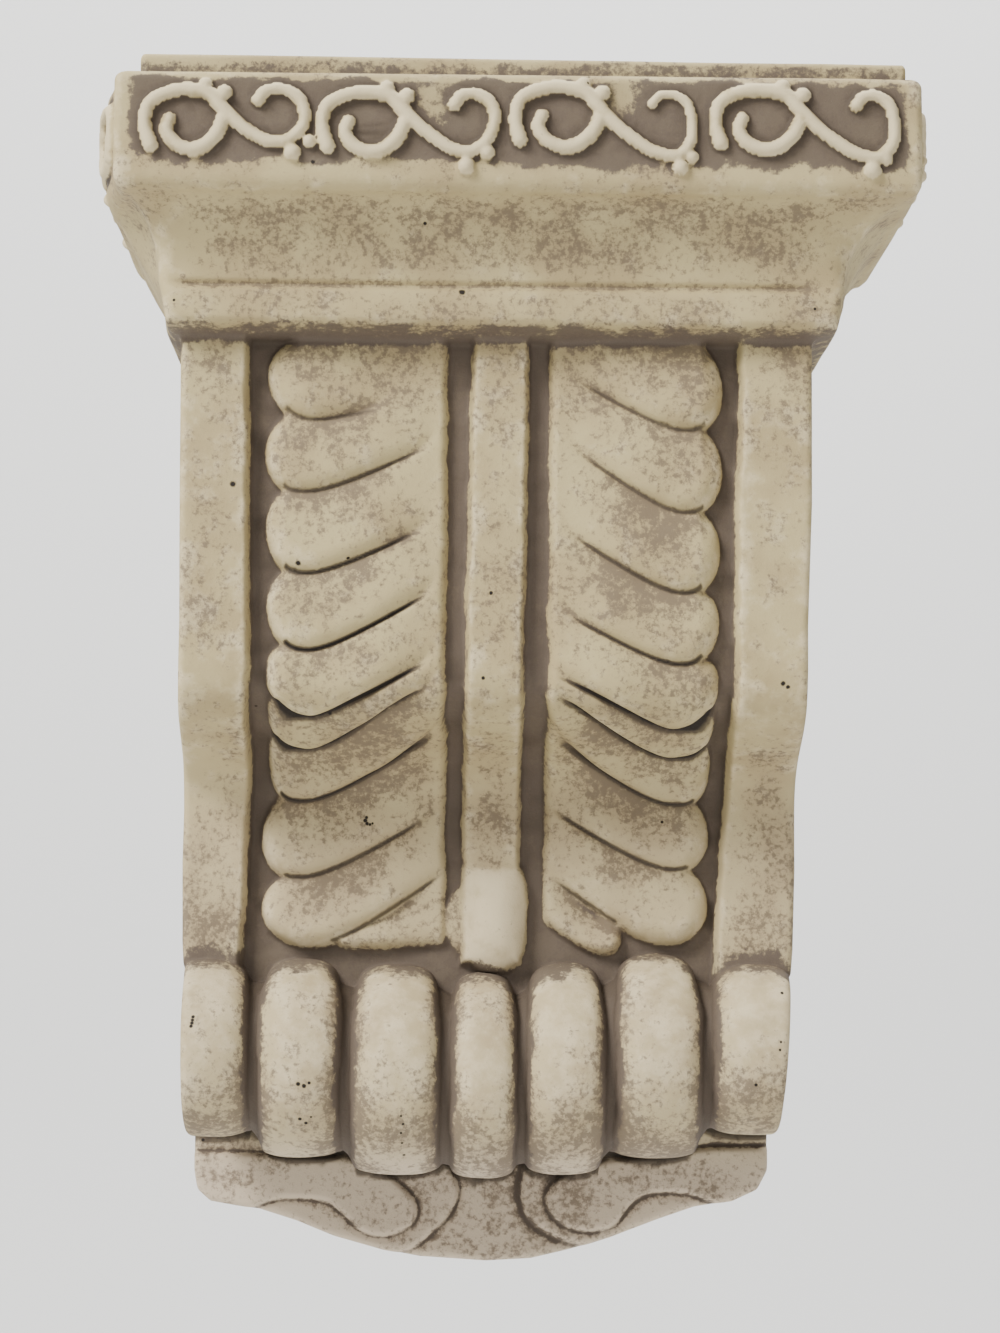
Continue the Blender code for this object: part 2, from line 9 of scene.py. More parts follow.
import bpy
import numpy as np
from mathutils import Matrix, Vector
from mathutils.kdtree import KDTree


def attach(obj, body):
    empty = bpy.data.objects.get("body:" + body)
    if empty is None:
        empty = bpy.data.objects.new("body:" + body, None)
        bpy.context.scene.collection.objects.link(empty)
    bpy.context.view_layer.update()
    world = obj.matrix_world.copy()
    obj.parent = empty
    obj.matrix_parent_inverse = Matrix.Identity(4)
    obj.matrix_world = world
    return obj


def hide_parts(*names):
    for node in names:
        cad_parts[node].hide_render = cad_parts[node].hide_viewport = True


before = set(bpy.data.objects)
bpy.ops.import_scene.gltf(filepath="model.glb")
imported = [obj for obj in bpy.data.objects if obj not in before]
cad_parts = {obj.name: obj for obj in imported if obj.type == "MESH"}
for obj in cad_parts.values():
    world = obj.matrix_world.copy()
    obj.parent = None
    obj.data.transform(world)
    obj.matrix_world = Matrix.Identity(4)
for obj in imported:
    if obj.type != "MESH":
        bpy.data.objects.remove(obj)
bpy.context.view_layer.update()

# ---- sizes, in millimetres
BODY_DEPTH = 84.5
WAIST_DEPTH = 46.5
TURN_Z = -16.5
TURN_LENGTH = 7.8
Z_TOP = 150.0
TOP_SINK = 0.7  # the top edge lies this much lower at its right end
Z_ABACUS_TOP = 145.0
Z_ABACUS_BOTTOM = 115.5
Z_BEAD_TOP = 95.5
Z_BEAD_BOTTOM = 84.0
ABACUS_OUT = 21.1
BEAD_OUT = 6.0
ROLL_FRONT = 64.0
GROOVE = 6.4
TAIL_DEPTH = 11.0
CHANNEL = -6.2
BODY_CORNER = 1.8
ROLL_TURN = math.radians(150)
ROLL_MIDDLE_RADIUS = 27
ROLL_UNDER_Z = -107.5
TAIL_LENGTH = 28
TAIL_LEFT = -77.2
TAIL_RIGHT = 74.7

# Edges of the body, of its side fillets and of the rib: heights from the top down, and the x at each
EDGE_Z = (84, 43, 12, -6, -19, -46, -66, -86, -105, -117, -150)
EDGE_LEFT = (-78.4, -78.1, -77.7, -77.9, -78.5, -79.0, -78.7, -77.5, -77.4, -77.2, -77.3)
EDGE_RIGHT = (79.2, 79.2, 78.1, 78.1, 78.6, 78.7, 78.1, 76.6, 74.4, 74.0, 74.7)
FILLET_Z = (84, 8, -30, -71, -90)
FILLET_LEFT = (-61.3, -60.0, -61.6, -63.0, -63.0)
FILLET_RIGHT = (60.7, 59.6, 60.3, 57.8, 57.4)
RIB_Z = (84, 8, -40, -75)
RIB_LEFT = (-5.9, -7.2, -7.3, -7.6)
RIB_RIGHT = (8.9, 8.1, 8.0, 8.2)
RIB_END_Z = -72.0
RIB_TOP = -0.7
PANEL_LEFT = -11.2
PANEL_RIGHT = 13.4

# Reeds from left to right: left edge, right edge, top, bottom
REEDS = (
    (-83.0, -60.1, -70.0, -116.2),
    (-59.1, -36.8, -70.2, -121.5),
    (-35.7, -11.5, -71.2, -125.7),
    (-10.4, 7.9, -73.3, -126.4),
    (8.9, 30.2, -70.7, -125.6),
    (31.2, 54.8, -68.5, -121.3),
    (55.9, 81.0, -70.8, -114.9),
)

# Leaf lobes from the top: lowest point, inner end and tip, each with x from the middle and z, and how
# deep the groove under the lobe is and how dark its painted shadow is
Lobe = namedtuple("Lobe", "low_x low_z in_x in_z tip_x tip_z groove")
LEFT_LOBES = [Lobe(*row) for row in (
    (45.3, 61.5, 27.0, 64.4, 56.9, 74.7, 0.6),
    (48.1, 43.4, 15.0, 55.4, 57.4, 54.5, 0.7),
    (47.8, 22.9, 17.0, 34.2, 57.0, 36.4, 1.0),
    (47.2, 3.7, 15.0, 18.5, 56.6, 17.2, 1.3),
    (46.6, -12.8, 15.6, 1.1, 56.4, -0.9, 1.5),
    (47.5, -19.6, 16.0, -6.2, 56.4, -12.8, 1.4),
    (48.7, -31.9, 13.0, -15.8, 57.0, -22.5, 1.1),
    (49.3, -51.0, 16.0, -36.0, 59.0, -40.3, 0.85),
    (45.3, -68.1, 9.6, -48.5, 58.8, -57.7, 0.65),
    (34.0, -68.4, 9.0, -67.4, 43.0, -62.0, 0),
)]
RIGHT_LOBES = [Lobe(*row) for row in (
    (48.0, 59.6, 19.0, 72.7, 57.2, 70.6, 0.6),
    (48.0, 38.9, 19.5, 54.5, 57.2, 50.6, 0.65),
    (47.5, 18.7, 18.0, 33.7, 56.6, 30.8, 0.85),
    (47.0, 0.8, 17.0, 13.6, 56.4, 13.5, 1.0),
    (46.8, -14.9, 15.0, -2.3, 56.4, -3.6, 1.4),
    (47.0, -20.9, 15.0, -8.3, 56.4, -14.6, 1.4),
    (47.5, -32.1, 15.0, -16.7, 56.6, -24.0, 1.0),
    (47.5, -48.4, 15.0, -33.3, 56.8, -38.9, 0.9),
    (45.5, -66.9, 14.0, -49.9, 56.6, -56.8, 0.65),
    (29.0, -69.4, 9.0, -57.5, 34.5, -65.0, 0),
)]
PANEL = -2.0
LOBE_TOP = 0.6
LOBE_FALL = 3.0
LOBE_EDGE = 6.2
LAST_LOBE_DROP = 0.5
EDGE_BEND = 0.3
TUCK = 4.0
FIRST_TUCK = 0.5
BORDER = 1.3  # from a lobe's edge in to the middle of the line cut and painted as shadow along it
LINE_WIDTH = 0.78
LINE_NARROWING = 0.26
LINE_DEPTH = 0.8
STEP_DOWN = 4.0
FACE_STEP = 0.1
LEAST_TANGENT = 0.35


# ---- helpers
def step(a, b, x):
    t = np.clip((x - a) / (b - a), 0.0, 1.0)
    return t * t * (3 - 2 * t)


def rounded(g, width):
    """Quarter-round edge: 0 outside, rising to 1 over width inside."""
    t = 1 - np.clip(g / width, 0.0, 1.0)
    return np.sqrt(np.maximum(0.0, 1 - t * t))


def soft_max(a, b, k):
    h = np.clip(0.5 + 0.5 * (a - b) / k, 0.0, 1.0)
    return b + (a - b) * h + k * h * (1 - h)


def bell(x, width):
    return np.exp(-((x / width) ** 2))


def wobble(u, v, cell, seed):
    """Smooth seeded unevenness from -1 to 1, about one bump to each cell."""
    size = 64
    table = np.random.default_rng(seed).uniform(-1, 1, (size, size))
    fu = u / cell + 31.7
    fv = v / cell + 17.3
    iu = np.floor(fu).astype(int)
    iv = np.floor(fv).astype(int)
    su, sv = (t * t * (3 - 2 * t) for t in (fu - iu, fv - iv))
    a, b, c, d = (table[(iu + j) % size, (iv + k) % size] for k in (0, 1) for j in (0, 1))
    return (a + (b - a) * su) * (1 - sv) + (c + (d - c) * su) * sv


def edge_at(z, heights, places):
    """x at height z of an edge that is given from the top down."""
    return np.interp(-z, -np.array(heights, float), places)


def curve_through(points, steps=6):
    """Smooth curve through the given points."""
    p = np.array(points, float)
    q = np.vstack([2 * p[0] - p[1], p, 2 * p[-1] - p[-2]])
    out = []
    for k in range(len(p) - 1):
        a, b, c, d = q[k : k + 4]
        for j in range(steps):
            t = j / steps
            square = (2 * a - 5 * b + 4 * c - d) * t * t
            cube = (3 * b - a - 3 * c + d) * t**3
            out.append(0.5 * (2 * b + (c - a) * t + square + cube))
    out.append(p[-1])
    return np.array(out)


def near_path(x, z, path):
    """Distance from each point to a path, and how far along the path, 0 to 1, the nearest place is."""
    best = np.full(x.shape, 1e9)
    along = np.zeros(x.shape)
    lengths = np.hypot(*(path[1:] - path[:-1]).T)
    total = lengths.sum()
    done = 0.0
    for (ax, az), (bx, bz), length in zip(path[:-1], path[1:], lengths):
        dx, dz = bx - ax, bz - az
        t = np.clip(((x - ax) * dx + (z - az) * dz) / (length * length), 0, 1)
        d = np.hypot(x - ax - t * dx, z - az - t * dz)
        closer = d < best
        best = np.where(closer, d, best)
        along = np.where(closer, (done + t * length) / total, along)
        done += length
    return best, along


def inside_polygon(x, z, polygon):
    inside = np.zeros(x.shape, bool)
    for (ax, az), (bx, bz) in zip(polygon, np.roll(polygon, -1, axis=0)):
        if az == bz:
            continue
        inside ^= ((az > z) != (bz > z)) & (x < (bx - ax) * (z - az) / (bz - az) + ax)
    return inside


def signed_distance(x, z, polygon):
    """Distance to a closed outline, above 0 inside it."""
    closed = np.vstack([polygon, polygon[:1]])
    d, _ = near_path(x, z, closed)
    return np.where(inside_polygon(x, z, polygon), d, -d)


# ---- the front face seen from the side
FACE_Z = np.arange(Z_BEAD_BOTTOM, -100.0, -FACE_STEP)
FACE_TURN = np.tanh((FACE_Z - TURN_Z) / TURN_LENGTH)
FACE_D = (BODY_DEPTH + WAIST_DEPTH) / 2 + (BODY_DEPTH - WAIST_DEPTH) / 2 * FACE_TURN
FACE_S = np.concatenate([[0.0], np.cumsum(np.hypot(np.diff(FACE_D), np.diff(FACE_Z)))])
TANGENT_D = np.gradient(FACE_D, FACE_S)
TANGENT_Z = np.gradient(FACE_Z, FACE_S)


def length_at(z):
    return np.interp(-np.asarray(z, float), -FACE_Z, FACE_S)


def face_at(s, rise):
    """Depth and height of a point at length s down the face, raised off it by rise."""
    depth = np.interp(s, FACE_S, FACE_D) - np.interp(s, FACE_S, TANGENT_Z) * rise
    height = np.interp(s, FACE_S, FACE_Z) + np.interp(s, FACE_S, TANGENT_D) * rise
    return depth, height


# ---- relief on the body
def lobe_height(side, x, s, row, above_z, tuck, drop):
    """One leaf lobe: height over the face, distance inside its edge, fade to the rib, place from edge up.

    above_z is the lowest height of the lobe above, tuck is how far this one runs in under it, and
    drop is how much lower it lies than the others.
    """
    low_x, low_z, in_x, in_z, tip_x, tip_z, groove = row
    ax = side * x
    t = np.clip((low_x - ax) / (low_x - in_x), 0.0, 1.5)
    bend = (np.sqrt(t**2 + EDGE_BEND**2) - EDGE_BEND) / (math.sqrt(1 + EDGE_BEND**2) - EDGE_BEND)
    edge_s = length_at(low_z + (in_z - low_z) * bend)
    column = np.maximum(1e-6, np.abs(np.gradient(x, axis=1)))
    slope = np.abs(np.gradient(edge_s, axis=1) / column)
    g_low = (edge_s - s) / np.sqrt(1 + slope**2)
    z = np.interp(s, FACE_S, FACE_Z)
    reach = tip_x - low_x
    half = np.where(z < tip_z, tip_z - low_z, max(above_z - tip_z + tuck, 5.0))
    full = 2.0 + 1.3 * bell(tip_z + 10, 14)
    out = (np.maximum(ax - low_x, 0) / reach) ** full
    rho = (out + np.abs((z - tip_z) / half) ** full) ** (1 / full)
    g_tip = np.minimum(g_low, (1 - rho) * reach)
    g = g_low + (g_tip - g_low) * step(low_x - 3.5, low_x + 5.5, ax)
    f = np.clip((edge_s - s) / max(length_at(low_z) - length_at(above_z), 6.0), 0.0, 1.8)
    fade = step(in_x - 3.0, in_x + 32.0 - 16.0 * min(1.0, groove), ax)
    top = LOBE_TOP - drop - LOBE_FALL * np.maximum(f - 0.2, 0) ** 1.4
    level = PANEL - 0.5 * drop + (top - PANEL + 0.5 * drop) * fade
    height = CHANNEL + (level - CHANNEL) * rounded(g, min(LOBE_EDGE, 0.7 * reach)) ** 0.9
    return height, g, fade, f


def leaf_relief(side, x, s, rows, inner):
    """Height of one leaf panel, the painted shadow in its cut lines, how far up its lobe a point is, and its
    rims.
    """
    ax = side * x
    height = np.full(x.shape, CHANNEL - 3.0)
    cut_and_shade, upper, rim = np.zeros((3, *x.shape))
    above = None
    above_z = Z_BEAD_BOTTOM
    # the lines, cut in and painted as shadow, keep their width in the picture where the face turns away
    stretch = 1 / np.maximum(LEAST_TANGENT, np.abs(np.interp(s, FACE_S, TANGENT_Z)))
    for number, row in enumerate(rows):
        last = number == len(rows) - 1
        tuck = TUCK if number > 0 else FIRST_TUCK
        drop = LAST_LOBE_DROP if last else 0.0
        lobe, g, fade, f = lobe_height(side, x, s, row, above_z, tuck, drop)
        if above:
            width = LINE_WIDTH - LINE_NARROWING * min(1.0, above.groove / 1.1)
            line = bell(above_g - BORDER + 0.7 * (stretch - 1), width * stretch)
            line = line * step(above.in_x - 1.0, above.in_x + 8.0, ax)
            line = line * step(-0.6, 0.8, g)
            tip_s = length_at(above.tip_z)
            inner_part = step(above.low_x - 3.5, above.low_x - 5.0, ax)
            line = line * np.maximum(step(tip_s, tip_s + 3.0, s), inner_part)
            # the line under the lobe above is cut in and painted as its shadow
            cut_and_shade = np.maximum(cut_and_shade, line * above.groove)
            lobe = lobe - STEP_DOWN * above_fade * step(BORDER - 0.5, BORDER + 1.2, above_g)
        over = (lobe > height) & (g > 0)
        # more mottling towards each lobe's top, just under the lobe above: partly mottling, partly painted
        # shade from that lobe's edge
        upper = np.where(over, 0.75 if last else np.clip(f, 0, 1.1) * (0.35 + 0.65 * fade), upper)
        rim = np.where(over, (1 - step(0.6, 4.6, g)) * fade * (not last), rim)
        height = soft_max(height, lobe, 0.35)
        above, above_g, above_fade, above_z = row, g, fade, row.low_z
    keep = rounded(ax - inner, 2.6) * rounded(s + 2.0, 3.0)
    height = CHANNEL + (height - CHANNEL) * keep - LINE_DEPTH * cut_and_shade * keep
    return height, cut_and_shade, upper, rim


def body_relief(x, s):
    """Rise of the surface over the fillets' face, with the masks of its painted crease shade, lobes and pod.
    """
    z = np.interp(s, FACE_S, FACE_Z)
    floor = CHANNEL + 0.25 * wobble(x, s, 9, 1)
    fillet_left = edge_at(z, FILLET_Z, FILLET_LEFT)
    fillet_right = edge_at(z, FILLET_Z, FILLET_RIGHT)
    rib_left = edge_at(z, RIB_Z, RIB_LEFT)
    rib_right = edge_at(z, RIB_Z, RIB_RIGHT)
    panel_left = PANEL_LEFT + 0.5 * wobble(x * 0, s, 12, 3) + 0.3 * wobble(x * 0, s, 3.5, 13)
    panel_right = PANEL_RIGHT + 0.5 * wobble(x * 0, s, 12, 4) + 0.3 * wobble(x * 0, s, 3.5, 14)
    uneven = 0.35 * wobble(x, s, 22, 5) + 0.12 * wobble(x, s, 6, 6)

    outer = np.maximum(fillet_left - x, x - fillet_right)
    worn = outer + 0.35 * wobble(x, s, 15, 7) + 0.25 * wobble(x, s, 4, 17)
    fillets = CHANNEL + (0.0 - CHANNEL) * rounded(worn, 1.7)
    rib_inside = np.minimum(x - rib_left, rib_right - x)
    rib_inside = rib_inside + 0.25 * wobble(x, s, 11, 8) + 0.25 * wobble(x, s, 3.5, 18)
    rib_inside = np.minimum(rib_inside, length_at(RIB_END_Z) - s)
    rib = CHANNEL + (RIB_TOP - CHANNEL) * rounded(rib_inside, 1.6)
    r = soft_max(floor, fillets, 0.8)
    r = soft_max(r, rib, 0.8)

    left = leaf_relief(-1, x, s, LEFT_LOBES, -panel_left)
    right = leaf_relief(1, x, s, RIGHT_LOBES, panel_right)
    leaf, crease, upper, rim = (np.where(x < 0, a, b) for a, b in zip(left, right))
    r = soft_max(r, leaf, 0.4)

    # how much mottling the flat faces of the fillets and the rib take
    on_fillet = step(1.0, 2.5, outer)
    on_rib = step(0.5, 2.0, rib_inside)
    blotches = 0.5 * wobble(x, s, 13, 19)
    even = 0.2 + 0.22 * (1 - step(4, 26, s)) + 0.15 * step(-15, -50, z)
    flat = np.maximum(on_fillet * (even + blotches), on_rib * (0.2 + blotches))

    # pod at the foot of the rib, with its low skirt
    pod_s = length_at(-59.0)
    skirt = np.hypot((x + 2.6) / 9.6, (s - length_at(-60.5)) / 10.5)
    r = soft_max(r, -5.6 + 3.4 * np.sqrt(np.maximum(0, 1 - skirt**3)), 0.8)
    wide = 8.9 - 1.0 * np.clip((s - pod_s) / 14.0, 0, 1) ** 2 + 0.4 * wobble(x, s, 7, 9)
    u = np.abs((x - 1.2) / wide)
    v = np.abs((s - pod_s) / 15.2)
    rho = (u**2.6 + v**3.4) ** (1 / 2.9)
    pod = -3.2 + 5.6 * np.maximum(0, 1 - rho**2.2) ** 0.72
    r = np.where(rho < 1, soft_max(r, pod, 0.9), r)
    on_pod = (1 - step(0.8, 1.05, rho)) * step(length_at(-45.5), length_at(-49.0), s)
    rubbed = 0.25 * on_fillet * step(6, 26, s) * (1 - step(-15, -40, z)) + 0.15 * on_rib
    marks = {"crease": crease, "upper": upper, "pale": np.maximum(on_pod, rubbed), "rim": rim, "flat": flat}
    return r + uneven * step(0, 12, s), marks


# ---- the roll of reeds
REED_FULLNESS = 2.3


def roll_shape(x, along=1.0):
    """Middle depth and height of the reed's circle, its radius, and how far out of its groove it is.

    along goes from 0 at the reeds' tops, which are a little narrower, to 1 at their lowest place.
    """
    inset = 1.5
    edges = np.array([(a + inset, b - inset) for a, b, _, _ in REEDS]).ravel()
    radii = np.repeat([(top - bottom) / 2 for _, _, top, bottom in REEDS], 2)
    heights = np.repeat([(top + bottom) / 2 for _, _, top, bottom in REEDS], 2)
    outer = np.interp(x, edges, radii)
    middle_z = np.interp(x, edges, heights)
    down = x * 0 + np.asarray(along, float)
    groove = GROOVE * (1 - 0.5 * step(0.4, 1.0, down))
    radius = outer - groove
    taper = 0.92 + 0.08 * step(0.0, 0.3, down)
    for a, b, _, _ in REEDS:
        middle = (a + b) / 2
        half = (b - a) / 2 * taper - 0.7 + 0.35 * wobble(x * 0 + middle, down * 60, 7, 61)
        u = np.clip(np.abs(x - middle) / half, 0, 1)
        bulge = (1 - u**REED_FULLNESS) ** (1 / REED_FULLNESS)
        radius = np.where(u < 1, np.maximum(radius, outer - groove + groove * bulge), radius)
    share = np.clip((radius - (outer - groove)) / groove, 0, 1)
    return ROLL_FRONT - outer, middle_z, radius, share


# ---- the tail
# The tail's lower edge
TAIL_EDGE_X = (
    -77.4, -76.3, -72.8, -66, -59.6, -50, -40.3, -27, -17.3, 0,
    12, 23.6, 32.8, 46.1, 55.4, 65.2, 71.9, 74.8,
)
TAIL_EDGE_Z = (
    -125.5, -131.3, -134.4, -135.6, -136.6, -139.6, -143.5, -147.2, -148.9, -150,
    -149.3, -146.6, -143.7, -138.6, -135.4, -133.9, -130.8, -125.5,
)

# Outlines of the raised parts of the tail, from back to front: the line that shows, in picture
# positions, the rest of the outline in millimetres, how high it stands, how wide its rounded edge
# is, and how wide and deep the groove along it is
TAIL_PARTS = (
    (
        ((440, 1150), (451, 1171), (458.6, 1193.5), (448.6, 1218), (419, 1246), (395, 1256)),
        ((-30, -160), (-90, -150), (-90, -100), (-12, -100)),
        2.0, 1.3, 0.75, 0.7,
    ),
    (
        ((527, 1150), (520, 1176), (518.5, 1198.5), (527, 1221), (552, 1238), (585, 1249)),
        ((30, -160), (90, -150), (90, -100), (12, -100)),
        2.2, 1.7, 1.5, 0.8,
    ),
    (
        ((372, 1160), (394, 1181), (416, 1203), (414, 1224), (389, 1237), (364, 1233), (344, 1216),
         (329, 1205), (302, 1201), (276, 1203), (252, 1212)),
        ((-66, -145), (-90, -140), (-90, -121.5), (-70, -121.6)),
        1.5, 1.2, 0.7, 0.6,
    ),
    (
        ((572, 1165), (554.6, 1181), (544.6, 1196), (549, 1215), (566, 1228), (589, 1232), (612, 1226),
         (629, 1206), (644, 1196), (664, 1193.5), (689, 1196), (716, 1206)),
        ((66, -145), (90, -140), (90, -119.5), (60, -119.5)),
        1.6, 1.2, 0.9, 0.7,
    ),
)


def to_mm(points):
    """Places on the tail, read off as picture positions, as millimetres on its face."""
    return [((u - 485.3) / 3.735, -150.0 - (v - 1262.0) / 3.72) for u, v in points]


def tail_relief(x, z):
    """Rise over the tail's face and a mask of its grooves."""
    rise, groove = np.zeros((2, *x.shape))
    for shown, rest, height, edge, width, deep in TAIL_PARTS:
        d = signed_distance(x, z, np.vstack([curve_through(to_mm(shown)), rest]))
        rise += height * rounded(d, edge) * (d > 0)
        line = bell(d + 0.4, width)
        rise -= deep * line
        groove = np.maximum(groove, line)
    return rise, groove


# ---- the scroll frieze
STEM_RADIUS = 1.75
STEM = (
    (-18.6, -6.9), (-19.9, -2.4), (-19.5, 2.7), (-16.3, 5.5), (-11.3, 7.0), (-4.8, 6.3),
    (-1.9, 3.3), (1.7, -0.4), (6.0, -3.6), (10.3, -5.6), (14.8, -5.1), (18.2, -2.0),
    (18.7, 1.9), (17.0, 5.6), (13.0, 7.4), (9.3, 6.9), (7.4, 4.6),
)
SAG = (0, 0, 0, 0, 0, 0, 0, 0, 0.2, 0.6, 1, 0.6, 0, 0, 0, 0, 0)
CURL = (0, 0, 0, 0, 0, 0, 0, 0, 0, 0, 0, 0.1, 0.3, 0.4, 0.7, 0.9, 1)
BRANCH = (
    (-1.2, -0.5), (-2.7, -3.9), (-5.5, -6.8), (-9.1, -7.7), (-12.7, -6.3), (-14.8, -3.2), (-14.1, -0.3),
)
# Buds: x, z and radius
TOP_BUDS = ((-5.4, 8.4, 1.8), (-0.8, 6.4, 2.0))
LOW_BUDS = ((15.9, -8.3, 2.1), (20.0, -5.6, 1.8))

# Scroll motifs on the front: middle, stretch, thinning of the last part, tilt in degrees, how far the
# lower corner sags and juts out, how far the last curl is drawn in, lower buds
FRONT_MOTIFS = (
    (-66.0, 132.7, 1.0, 0.1, 0.0, 0.0, 0.0, 0.0, LOW_BUDS),
    (-21.6, 132.3, 1.06, 0.1, 1.0, 1.6, 0.0, 3.0, ((13.2, -10.6, 2.2), (18.0, -7.1, 1.9))),
    (25.9, 133.5, 1.08, 0.35, 4.0, 2.4, 2.6, 3.4, ((18.0, -10.6, 2.0), (20.4, -7.8, 1.7))),
    (75.0, 133.5, 1.09, 0.15, 3.0, 2.6, 2.6, 4.2, ((15.7, -11.2, 2.2), (18.7, -8.1, 1.7))),
)
# The same on each side of the moulded top: how far from the wall, height and the rest
SIDE_MOTIFS = (28.5, 76.5)
SIDE_MOTIF_Z = 131.8
SIDE_MOTIF_SHAPE = (1.05, 0.15, 0.0, 0.0, 0.0, 0.0, LOW_BUDS)
# Middles of two pale patches of the frieze's ground
RUBBED = ((-16.4, 138.0), (29.3, 139.0))


def round_rod(d, radius, rise):
    """Height of a round rod or ball over the ground, at distance d from its middle."""
    return rise + np.sqrt(np.maximum(0, radius**2 - d**2)) * (d < radius) - rise * (d >= radius)


def motif_height(x, z, scale, thin, tilt, sag, jut, curl, low_buds):
    """Height of one scroll motif over its ground, with x and z from its middle."""
    a = math.radians(tilt)
    x, z = x * math.cos(a) - z * math.sin(a), x * math.sin(a) + z * math.cos(a)
    stem = np.array(STEM) * (scale, 1.0)
    stem[:, 1] -= sag * np.array(SAG)
    stem[:, 0] += jut * np.array(SAG) + curl * np.array(CURL)
    d, t = near_path(x, z, curve_through(stem))
    swell = 0.95 + 0.1 * bell(t - 0.35, 0.12) + 0.12 * bell(t - 1, 0.04)
    size = STEM_RADIUS * (1 - thin * step(0.6, 0.95, t)) * swell
    size = size * (1 + 0.12 * bell(t, 0.04)) + 0.12 * wobble(x, z, 4, 71)
    height = np.maximum(0, round_rod(d, size, 0.6))
    d, t = near_path(x, z, curve_through(np.array(BRANCH) * (scale, 1.0)))
    size = STEM_RADIUS * (1.1 - 0.15 * t) + 0.12 * wobble(x, z, 4, 72)
    height = np.maximum(height, round_rod(d, size, 0.5))
    for bx, bz, radius in TOP_BUDS + low_buds:
        d = np.hypot(x - bx * scale, z - bz)
        height = np.maximum(height, round_rod(d, radius, 0.4))
    return height


# ---- rows down the object
def top_share(x):
    """How far the top edge has sunk at x, from 0 at its left end to 1 at its right."""
    return step(-90, 100, x)


def crown_profile():
    """Height, overhang, left edge, right edge and corner radius down the moulded top, in even steps."""
    # each member's overhang, edges and corner radius
    fillet = (17.0, -87.9, 100.6, 1.5)
    abacus = (ABACUS_OUT, -93.9, 104.1, 2.4)
    hollow_end = (BEAD_OUT + 0.6, -83.6, 86.9, 3.0)
    body = (0.0, -78.4, 79.2, BODY_CORNER)
    arris = 2.4
    z_swell = 119.5

    def line(z, out, place):
        """A point of the profile at the given height, set in by out."""
        depth, left, right, radius = place
        return z, depth - out, left + out, right - out, max(0.4, radius - 0.5 * out)

    top = ((Z_TOP, 0.9), (149.8, 0.25), (149.2, 0.0), (146.0, 0.0), (145.2, 0.2))
    points = [line(z, out, fillet) for z, out in top]
    points.append(line(Z_ABACUS_TOP, 3.2, abacus))
    for k in range(7):
        a = math.radians(90 - 90 * k / 6)
        points.append(line(Z_ABACUS_TOP - arris + arris * math.sin(a), arris - arris * math.cos(a), abacus))
    points += [line(130.0, -0.1, abacus), line(z_swell, 0.0, abacus)]
    for k in range(1, 7):
        a = math.radians(75 * k / 6)
        points.append(line(z_swell - 4.0 * math.sin(a), 3.5 - 3.5 * math.cos(a), abacus))
    first = np.array(points[-1])
    last = np.array(line(Z_BEAD_TOP + 0.4, 0.0, hollow_end))
    # the cove
    steps = 18
    power = 1.75
    for k in range(1, steps + 1):
        up = math.cos(math.pi / 2 * k / steps)
        hollow = 1 - (1 - up**power) ** (1 / power)
        place = last + (first - last) * hollow
        place[0] = last[0] + (first[0] - last[0]) * up
        place[4] = 2.4 + 4.2 * math.sin(math.pi * k / steps)
        points.append(tuple(place))
    # the bead
    out, left, right, radius = hollow_end
    steps = 11
    for k in range(1, steps + 1):
        a = math.radians(90 - 180 * k / steps)
        share = k / steps
        bulge = 0.9 * math.cos(a) - 2.4 * max(0.0, share - 0.75) / 0.25
        inset = 2.4 * share
        z = 89.9 + 5.0 * math.sin(a)
        points.append((z, out + bulge, left + inset, right - inset, radius - 0.6 * share))
    points += [line(84.3, -2.4, body), line(83.8, -0.7, body)]
    p = np.array(points)
    lengths = np.concatenate([[0.0], np.cumsum(np.hypot(*np.diff(p[:, :2], axis=0).T))])
    wanted = np.linspace(0, lengths[-1], int(lengths[-1] / ROW_STEP))
    return [np.interp(wanted, lengths, p[:, k]) for k in range(5)]


# The moulded top's outline at the wall: heights and x
WALL_LEFT = ((84, 86, 96, 109, 116, 119, 150), (-78.4, -83.0, -84.2, -92.0, -95.8, -98.4, -98.4))
WALL_RIGHT = (
    (84, 87, 92, 99.5, 108, 113, 117, 119, 150),
    (79.2, 86.4, 88.4, 90.2, 94.4, 98.0, 102.0, 105.6, 105.6),
)

# What counts as the closing back and top faces, in metres
FACING = 0.9
NEAR_BACK = -0.002
NEAR_TOP = 0.1485
# Fineness of the grid
MOST_TRIANGLES = 192000
ROW_STEP = 0.5
FRONT_COLUMNS = 380
CORNER_COLUMNS = 7
SIDE_COLUMNS = 110
UNDER_ROWS = 33
FOOT_ROWS = 8
ROWS_ABOVE_ROLL = 40


def front_columns(left, right, radius):
    """x of each front column of a row, and how far the corner's rounding sets it back."""
    phi = np.radians(np.linspace(0, 90, CORNER_COLUMNS + 1))
    corner_x = 1 - np.cos(phi)
    corner_back = 1 - np.sin(phi)
    w = np.linspace(0, 1, FRONT_COLUMNS + 1)[1:-1]
    left, right, radius = (np.asarray(v, float)[:, None] for v in (left, right, radius))
    x = np.hstack([
        left + radius * corner_x,
        left + radius + (right - left - 2 * radius) * w,
        (right - radius * corner_x)[:, ::-1],
    ])
    back = np.hstack([radius * corner_back, radius * np.zeros_like(w), (radius * corner_back)[:, ::-1]])
    return x, back


def body_columns(z):
    """The same for rows of the body and roll, given their heights."""
    left, right = (edge_at(z, EDGE_Z, places) for places in (EDGE_LEFT, EDGE_RIGHT))
    return front_columns(left, right, np.full(len(z), BODY_CORNER))


